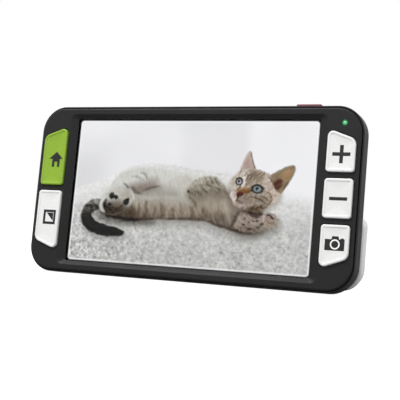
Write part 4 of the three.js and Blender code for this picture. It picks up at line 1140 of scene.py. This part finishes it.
def icon(name, key, polygons, material, slot, lift=0.03):
    """Flat printed shapes on a key, laid on its dished face. Each polygon is (outline, holes)."""
    verts, faces = merged([plate(outer, holes) for outer, holes in polygons])
    corners = KEYS[key]
    placed = [(x, key_face(corners, x, z) - lift + ICON_THICK * back, z) for x, back, z in verts]
    piece(name, (placed, faces), key + "_key", slot, material)


def plate(outer, holes):
    """A plate of unit thickness along Y with an outline and holes, as points (x, 0 or 1, z)."""
    bm = bmesh.new()
    edges = []
    for loop in (outer, *holes):
        verts = [bm.verts.new((x, 0, z)) for x, z in loop]
        edges += [bm.edges.new((verts[i - 1], verts[i])) for i in range(len(verts))]
    bmesh.ops.triangle_fill(bm, use_beauty=True, edges=edges)
    extruded = bmesh.ops.extrude_face_region(bm, geom=list(bm.faces))
    for v in extruded["geom"]:
        if isinstance(v, bmesh.types.BMVert):
            v.co.y = 1
    bm.verts.index_update()
    solid = [v.co[:] for v in bm.verts], [tuple(v.index for v in f.verts) for f in bm.faces]
    bm.free()
    return solid


def split(points):
    """Adds points along an outline so that it can follow a curved face."""
    length = 0.5
    result = []
    for i, (x0, z0) in enumerate(points):
        x1, z1 = points[(i + 1) % len(points)]
        n = max(1, round(math.hypot(x1 - x0, z1 - z0) / length))
        result += [(x0 + (x1 - x0) * k / n, z0 + (z1 - z0) * k / n) for k in range(n)]
    return result


def bar(x0, x1, z0, z1):
    return [(x0, z0), (x1, z0), (x1, z1), (x0, z1)]


def icons():
    x, z = 65.8, 17.3
    arm, half = 3.6, 0.72
    plus = [
        (x - arm, z - half), (x - half, z - half), (x - half, z - arm),
        (x + half, z - arm), (x + half, z - half), (x + arm, z - half),
        (x + arm, z + half), (x + half, z + half), (x + half, z + arm),
        (x - half, z + arm), (x - half, z + half), (x - arm, z + half),
    ]
    icon("zoom_in_icon", "zoom_in", [(split(plus), [])], INK, "black_plastic")
    icon("zoom_out_icon", "zoom_out", [(split(bar(x - arm, x + arm, -0.85, 0.45)), [])], INK, "black_plastic")

    house = [
        (-64.4, 16.1), (-68.1, 12.9), (-66.35, 12.9), (-66.35, 9.3), (-65.15, 9.3), (-65.15, 11.6),
        (-63.65, 11.6), (-63.65, 9.3), (-62.4, 9.3), (-62.4, 12.9), (-60.8, 12.9),
    ]
    icon("home_icon", "home", [(split(house), [])], INK, "black_plastic")

    frame_out, frame_in = bar(-67.9, -61.5, -16.4, -10.0), bar(-66.8, -62.6, -15.3, -11.1)
    corner = [(-66.3, -11.3), (-62.8, -14.9), (-62.8, -11.3)]
    square = [(split(frame_out), [split(frame_in)]), (split(corner), [])]
    icon("contrast_icon", "contrast", square, INK, "black_plastic")

    lens_x, lens_z = 65.8, -17.9
    camera = [
        (61.8, -20.3), (69.6, -20.3), (69.6, -15.95), (69.0, -15.5), (68.3, -15.5), (67.7, -15.95),
        (67.35, -15.95), (67.1, -14.75), (64.6, -14.75), (64.3, -15.95), (61.8, -15.95),
    ]
    icon("camera_icon", "camera", [(split(camera), [])], INK, "black_plastic")
    ring = [(disc(lens_x, lens_z, 1.95), [disc(lens_x, lens_z, 1.4)])]
    icon("camera_icon_ring", "camera", ring, PALE_INK, "key_white", lift=0.06)


def keys():
    key_cap("home", GREEN_KEY, "key_green")
    for name in ("contrast", "zoom_in", "zoom_out", "camera"):
        key_cap(name, WHITE_KEY, "key_white")
    power_key()
    status_light()


def power_key():
    """The red key in the top edge, drawn along Y and then turned up."""
    half_x, half_y, top = POWER["half_x"], POWER["half_y"], POWER["top"]
    low, high = POWER["foot"]
    edge = 0.6
    rings = [(low, -POWER["flange"]), (high, -POWER["flange"]), (high, 0), (top - edge, 0)]
    rings += quarter(top - edge, 0, top, edge, "in", 6)[1:]
    cap = new_object("power_key_cap", loft(rectangle(half_x, -half_y, half_y, 0.7, POWER["x"]), rings, 8))
    centres = [POWER["x"] + dx for dx in (-1.6, -0.8, 0, 0.8, 1.6)]
    cut(cap, [box(x - 0.2, x + 0.2, top - 0.12, top + 1, -0.8, 0.8) for x in centres])
    piece("power_key_cap", upward(taken(cap), POWER["y"]), "power_key", "key_red", RED_KEY, "power_button")


def status_light():
    """A lit dome in a dark green ring."""
    x, z, r = STATUS["x"], STATUS["z"], STATUS["r"]
    core, outer = r * 0.72, r + STATUS_GAP
    dome = [(0.0, -0.22), (core * 0.4, -0.2), (core * 0.75, -0.12), (core * 0.95, 0.02), (core, 0.2)]
    dome += [(core, 1.3), (r, 1.35), (r, 4.2)]
    solid = turned(x, z, dome, 40)
    piece("status_light_dome", solid, "housing", "status_green", STATUS_GREEN, "status_light_pipe")
    rim = [(core + 0.03, 0.02), (core + 0.1, -0.1), (outer - 0.1, -0.08), (outer - 0.02, 0.02)]
    rim += [(outer - 0.02, 1.2), (core + 0.03, 1.2)]
    ring = closed_ring([circle(x, z, q, y, 40) for q, y in rim])
    piece("status_light_rim", ring, "housing", "status_green", STATUS_RIM)


# ---------------------------------------------------------------- camera, lights, speaker and port


def rear_optics():
    back = HUMP["back"]
    window = [(7.1, back - 1.1), (7.1, back - 0.4), (6.9, back - 0.2), (0, back - 0.2)]
    disc_solid = turned(0, CAMERA_Z, window, 72)
    piece("camera_window_disc", disc_solid, "housing", "lens_glass", LENS, "camera_window")
    mask = new_object("camera_mask_ring", peg(0, CAMERA_Z, 7.0, back - 1.18, back - 1.12, 72))
    cut(mask, [peg(0, CAMERA_Z, 4.9, back - 2, back, 72)])
    place(mask, "housing", "black_plastic", DARK)
    profile = [(2.55, 10.9), (4.3, 10.9), (4.3, 15.3), (4.15, 15.6), (3.8, 15.8), (3.6, 15.7), (3.4, 15.2)]
    profile += [(3.1, 15.1), (3.0, 14.7), (2.8, 14.6), (2.7, 14.1), (2.55, 14.0)]
    barrel = closed_ring([circle(0, CAMERA_Z, r, y, 64) for r, y in profile])
    piece("camera_barrel_shell", barrel, "housing", "black_plastic", DARK, "camera_barrel", sharp=30)
    lens = [(0, 11.6), (1.2, 11.68), (2.2, 11.95), (2.2, 12.85)]
    lens += [(2.2 * math.cos(a), 12.85 + 0.7 * math.sin(a)) for a in np.linspace(0.2, math.pi / 2, 8)]
    glass = turned(0, CAMERA_Z, lens, 56)
    piece("camera_lens_glass", glass, "housing", "lens_glass", LENS, "camera_lens")
    rings = [(back - 2.2, 0.1), (back - 2.1, 0), (back - 0.6, 0)]
    rings += quarter(back - 0.6, 0, back - 0.2, 0.4, "in", 4)[1:]
    for side, sign in SIDES:
        pane = loft(light_outline(sign * LIGHT["x"]), rings, 10)
        name = f"light_window_{side}"
        piece(name + "_pane", pane, "housing", "diffuser", DIFFUSER, name)


def closed_ring(loops):
    """A closed tube of loops that ends where it began."""
    n = len(loops[0])
    verts = [p for loop in loops for p in loop]
    faces = []
    for j in range(len(loops)):
        k = (j + 1) % len(loops)
        for i in range(n):
            faces.append((j * n + i, k * n + i, k * n + (i + 1) % n, j * n + (i + 1) % n))
    return verts, faces


def charging_port():
    """A metal shell with a tongue and its contacts, drawn along Y and then turned up."""
    inner, mouth, wall, x = PORT["inner"], PORT["mouth"], PORT["wall"], PORT["x"]
    corners = port_outline(0)
    shell = new_object("charging_port_shell",
                       loft(corners, [(inner, 0), (mouth - 0.1, 0), (mouth, 0.08)], 10))
    cut(shell, [loft(corners, [(inner + 0.8, wall), (mouth + 1, wall)], 10)])
    tongue_rings = [(inner + 0.5, 0), (mouth - 1.3, 0), (mouth - 1.2, 0.1)]
    tongue = loft(rectangle(3.3, -0.35, 0.35, 0.12, x), tongue_rings, 4)
    places = [(x + dx, side * 0.36) for dx in np.arange(-2.75, 2.8, 0.5) for side in (-1, 1)]
    pads = [box(px - 0.14, px + 0.14, inner + 1.2, mouth - 1.7, pz - 0.03, pz + 0.03) for px, pz in places]
    for name, solid, slot, material, *node in (
            ("shell", taken(shell), "steel", STEEL, "charging_port"),
            ("tongue", tongue, "black_plastic", DARK), ("contacts", merged(pads), "steel", GOLD)):
        piece(f"charging_port_{name}", upward(solid, PORT["y"]), "housing", slot, material, *node)


# ---------------------------------------------------------------- stand, feet and fasteners

STAND_CORNERS = [
    (-STAND["foot_w"], STAND["foot"], STAND["r_foot"]),
    (STAND["foot_w"], STAND["foot"], STAND["r_foot"]),
    (STAND["top_w"], AXIS["z"] + STAND["half"], STAND["r_top"]),
    (-STAND["top_w"], AXIS["z"] + STAND["half"], STAND["r_top"]),
]


def stand_shell():
    half, edge, notch = STAND["half"], STAND["edge"], LUG["notch"]
    front, back = AXIS["y"] - half, AXIS["y"] + half
    hinges = [side * LUG["x"] for side in (-1, 1)]
    rings = quarter(front, edge, front + edge, 0, "out", 6) + quarter(back - edge, 0, back, edge, "in", 6)
    shell = new_object("stand_shell_moulding", loft(STAND_CORNERS, rings, 16))
    top_cut = new_object("top_cut", box(-80, 80, front - 1, back + 1, AXIS["z"], AXIS["z"] + half + 1))
    cut(top_cut, [rod(-81, 81, *PIN_AXIS, half, 64)])
    cut(shell, [taken(top_cut)])
    low, high = LUG["notch_floor"], AXIS["z"] + half + 1
    cut(shell, [box(x - notch, x + notch, front - 1, back + 1, low, high) for x in hinges])
    soften(shell, 0.3, 3, 50)
    pocket_corners = rectangle(POCKET["half_w"], POCKET["bottom"], POCKET["top"], POCKET["r"])
    pocket = hole(pocket_corners, front, front + POCKET["deep"], 0, 0.25)
    groove = rod(-FOOT["half_x"] - 0.3, FOOT["half_x"] + 0.3, AXIS["y"], FOOT["z"], FOOT["r"] + 0.3, 48)
    seats = [hole_from_back(pad_outline(side, 0.3), back, back - 0.7, 0, 0.15) for side in (-1, 1)]
    reach = PIN["half"] + 0.4
    bores = [rod(x - reach, x + reach, *PIN_AXIS, PIN["bore"]) for x in hinges]
    cut(shell, [pocket, *seats, *bores], [groove])
    cut(shell, [peg(x, z, 1.1, front, AXIS["y"] + 0.9, 24) for x, z in STAND_SCREWS])
    weld(shell)
    place(shell, "stand", "stand_grey", STAND_GREY, "stand_shell", sharp=30)


def pad_outline(side, grow=0.0):
    half_x, half_z, z = STAND_PAD["half_x"] + grow, STAND_PAD["half_z"] + grow, STAND_PAD["z"]
    return rectangle(half_x, z - half_z, z + half_z, half_z - 0.1, side * STAND_PAD["x"])


def liner_panel():
    """A ribbed panel in the stand's pocket."""
    front = AXIS["y"] - STAND["half"]
    corners = rectangle(LINER["half_w"], LINER["bottom"], LINER["top"], LINER["r"])
    rings = quarter(front + 0.1, 0.35, front + 0.45, 0, "out", 4) + [(front + LINER["thick"], 0)]
    liner = new_object("stand_liner_panel", loft(corners, rings, 10))
    grooves = [rectangle(57, z - 0.35, z + 0.35, 0.34) for z in np.arange(-27.9, -17.0, 2.0)]
    cut(liner, [loft(g, [(front, -0.1), (front + 0.35, -0.1), (front + 0.5, 0.1)], 4) for g in grooves])
    cut(liner, [peg(x, z, 1.7, front - 1, front + 0.9) for x, z in STAND_SCREWS])
    cut(liner, [peg(x, z, 1.1, front, front + 3) for x, z in STAND_SCREWS])
    place(liner, "stand", "liner_grey", LINER_GREY, "stand_liner")


def hinge_fittings(name, side):
    x = side * LUG["x"]
    pin = rod(x - PIN["half"], x + PIN["half"], *PIN_AXIS, PIN["r"], 40, 0.2)
    piece(f"hinge_pin_{name}_rod", pin, "stand", "steel", STEEL, f"hinge_pin_{name}")
    inner = x + side * (LUG["half"] + 0.3)
    ends = sorted((inner, inner + side * 0.6))
    washer = new_object(f"hinge_washer_{name}_ring", rod(*ends, *PIN_AXIS, 2.4, 48, 0.08))
    cut(washer, [rod(ends[0] - 1, ends[1] + 1, *PIN_AXIS, PIN["bore"])])
    place(washer, "housing", "steel", STEEL, f"hinge_washer_{name}")


def rubber_pad(name, body, node, corners, low, face):
    """A pad that stands proud of a face, with a rounded edge."""
    rings = [(low, 0.0)] + quarter(face + 0.5, 0, face + PAD_PROUD, 0.4, "in", 4)
    piece(name, loft(corners, rings), body, "rubber_black", RUBBER, node)


def stand_fittings():
    back, hump, foot = AXIS["y"] + STAND["half"], HUMP["back"], REAR_FOOT
    liner_panel()
    strip = rod(-FOOT["half_x"], FOOT["half_x"], AXIS["y"], FOOT["z"], FOOT["r"], 48, 0.3)
    piece("stand_foot_strip_cord", strip, "stand", "rubber_black", RUBBER, "stand_foot_strip")
    for name, side in SIDES:
        hinge_fittings(name, side)
        node = f"stand_pad_{name}"
        rubber_pad(node + "_rubber", "stand", node, pad_outline(side), back - 0.6, back)
        node = f"rear_foot_{name}"
        corners = rectangle(foot["half_x"], foot["bottom"], foot["top"], foot["r"], side * foot["x"])
        rubber_pad(node + "_rubber", "housing", node, corners, hump + 0.1, hump)


def screw(node, body, x, z, head, seat, tip, r_head, r_shank):
    """A pan-head screw with a cross recess. It points along +Y when its tip lies beyond its head."""
    way = 1 if tip > head else -1
    edge, crown = 0.3, 0.08
    angles = (0.5, 1.0, 1.57)
    profile = [(0, head), (r_head * 0.45, head + way * 0.01), (r_head - edge, head + way * crown)]
    profile += [(r_head - edge * (1 - math.sin(a)), head + way * (crown + edge * (1 - math.cos(a))))
                for a in angles]
    profile += [(r_head, seat), (r_shank, seat + way * 0.02), (r_shank, tip - way * r_shank)]
    obj = new_object(node + "_part", turned(x, z, profile + [(r_shank * 0.5, tip)], 40))
    deep = abs(seat - head) * 0.75
    wide, long = r_head * 0.15, r_head * 0.62
    y0, y1 = sorted((head - way * 1.0, head + way * deep))
    cross = [box(x - long, x + long, y0, y1, z - wide, z + wide)]
    cut(obj, cross, [box(x - wide, x + wide, y0, y1, z - long, z + long)])
    place(obj, body, "steel", STEEL, node)


def screws():
    depth, front = BODY["depth"], AXIS["y"] - STAND["half"]
    case, stand = CASE_SCREW, STAND_SCREW
    ends = depth - case["sunk"], depth - SCREW_RECESS["deep"] + 0.1, case["tip"]
    for i, (x, z) in enumerate(CASE_SCREWS, 1):
        screw(f"case_screw_{i}", "housing", x, z, *ends, case["r_head"], case["r_shank"])
    ends = front + stand["sunk"], front + stand["seat"], front + stand["tip"]
    for i, (x, z) in enumerate(STAND_SCREWS, 1):
        screw(f"stand_screw_{i}", "stand", x, z, *ends, stand["r_head"], stand["r_shank"])


# ---------------------------------------------------------------- what stays as the CAD model has it

INNER = {
    "screen_gasket": FOAM, "screen_glass": GLASS, "display_panel": DARK, "display_tray": SHEET,
    "display_ribbon": FILM, "main_board": BOARD, "processor_shield": SHEET, "battery_pack": FOIL,
    "speaker": DARK, "power_switch": DARK, "camera_board": BOARD, "camera_holder": DARK, "light_board": BOARD,
    "light_emitter_left": EMITTER, "light_emitter_right": EMITTER, "key_pad_left": SILICONE,
    "key_pad_right": SILICONE, "key_board_left": BOARD, "key_board_right": BOARD, "status_led": EMITTER,
}


def finish_inner_nodes():
    for name, material in INNER.items():
        mesh = frame["nodes"][name].data
        mesh.materials.clear()
        mesh.materials.append(material)


# ---------------------------------------------------------------- stage, lights and camera

STAGE_SIZE = 6.0
WORLD_LIGHT = 0.72  # on the object; the camera sees a white world
FLOOR_GLOW = 0.93  # for the camera only, so that the floor looks white without lighting the object
LIGHTS = {  # where each one is, its size in metres and its power in watts
    "key_light": ((-0.35, -0.45, 0.85), (0.5, 0.4), 9.3),
    "fill_light": ((0.85, -0.45, 0.3), (0.5, 0.5), 2.1),
    "rear_light": ((0.1, 0.8, 0.7), (0.8, 0.4), 2.5),
}
LIGHTS_AIM = (0, 0, 0.04)


def stage():
    n = Nodes("stage_paper")
    paper = n.blend(n.noise(40.0, detail=3.0), (0.3, 0.3, 0.3, 1), (0.34, 0.34, 0.34, 1))
    n.set(Base_Color=paper, Roughness=0.9, Specular_IOR_Level=0.0)
    seen = n.add("ShaderNodeLightPath").outputs["Is Camera Ray"]
    n.set(Emission_Color=(1, 1, 1, 1), Emission_Strength=n.math("MULTIPLY", seen, FLOOR_GLOW))
    half = STAGE_SIZE / 2
    mesh = bpy.data.meshes.new("floor")
    mesh.from_pydata([(-half, -half, 0), (half, -half, 0), (half, half, 0), (-half, half, 0)], [],
                     [(0, 1, 2, 3)])
    mesh.materials.append(n.material)
    linked("floor", mesh)

    world = bpy.data.worlds.new("studio")
    world.use_nodes = True
    background = world.node_tree.nodes["Background"]
    seen = world.node_tree.nodes.new("ShaderNodeLightPath").outputs["Is Camera Ray"]
    strength = world.node_tree.nodes.new("ShaderNodeMapRange")
    strength.inputs["To Min"].default_value = WORLD_LIGHT
    strength.inputs["To Max"].default_value = 1.0
    world.node_tree.links.new(seen, strength.inputs["Value"])
    world.node_tree.links.new(strength.outputs["Result"], background.inputs["Strength"])
    background.inputs["Color"].default_value = (1, 1, 1, 1)
    bpy.context.scene.world = world


def lights():
    for name, (at, size, power) in LIGHTS.items():
        data = bpy.data.lights.new(name, "AREA")
        data.shape = "RECTANGLE"
        data.size, data.size_y = size
        data.energy = power
        light = linked(name, data)
        light.location = at
        light.rotation_euler = (Vector(LIGHTS_AIM) - Vector(at)).to_track_quat("-Z", "Y").to_euler()


CAMERA_AT = (159.63, -336.42, -42.83)  # in the device's frame, in millimetres
CAMERA_LOOK = (-0.41001, 0.90570, 0.10767)
CAMERA_UP = (-0.03788, -0.13485, 0.99014)
LENS_MM = 81.02  # on a 36 mm wide film


def camera():
    data = bpy.data.cameras.new("camera")
    data.lens = LENS_MM
    data.sensor_width = 36.0
    data.clip_start = 0.01
    obj = linked("camera", data)
    look, up = Vector(CAMERA_LOOK).normalized(), Vector(CAMERA_UP)
    side = look.cross(up).normalized()
    up = side.cross(look)
    axes = Matrix((side, up, -look)).transposed().to_4x4()
    obj.matrix_world = DEVICE @ Matrix.Translation(Vector(CAMERA_AT) * MM) @ axes
    bpy.context.scene.camera = obj


# ---------------------------------------------------------------- make it all

camera()
front_cover()
rear_cover()
display(screen_picture())
keys()
icons()
rear_optics()
charging_port()
stand_shell()
stand_fittings()
screws()
finish_inner_nodes()
stage()
lights()
bpy.context.scene.view_settings.view_transform = "Standard"
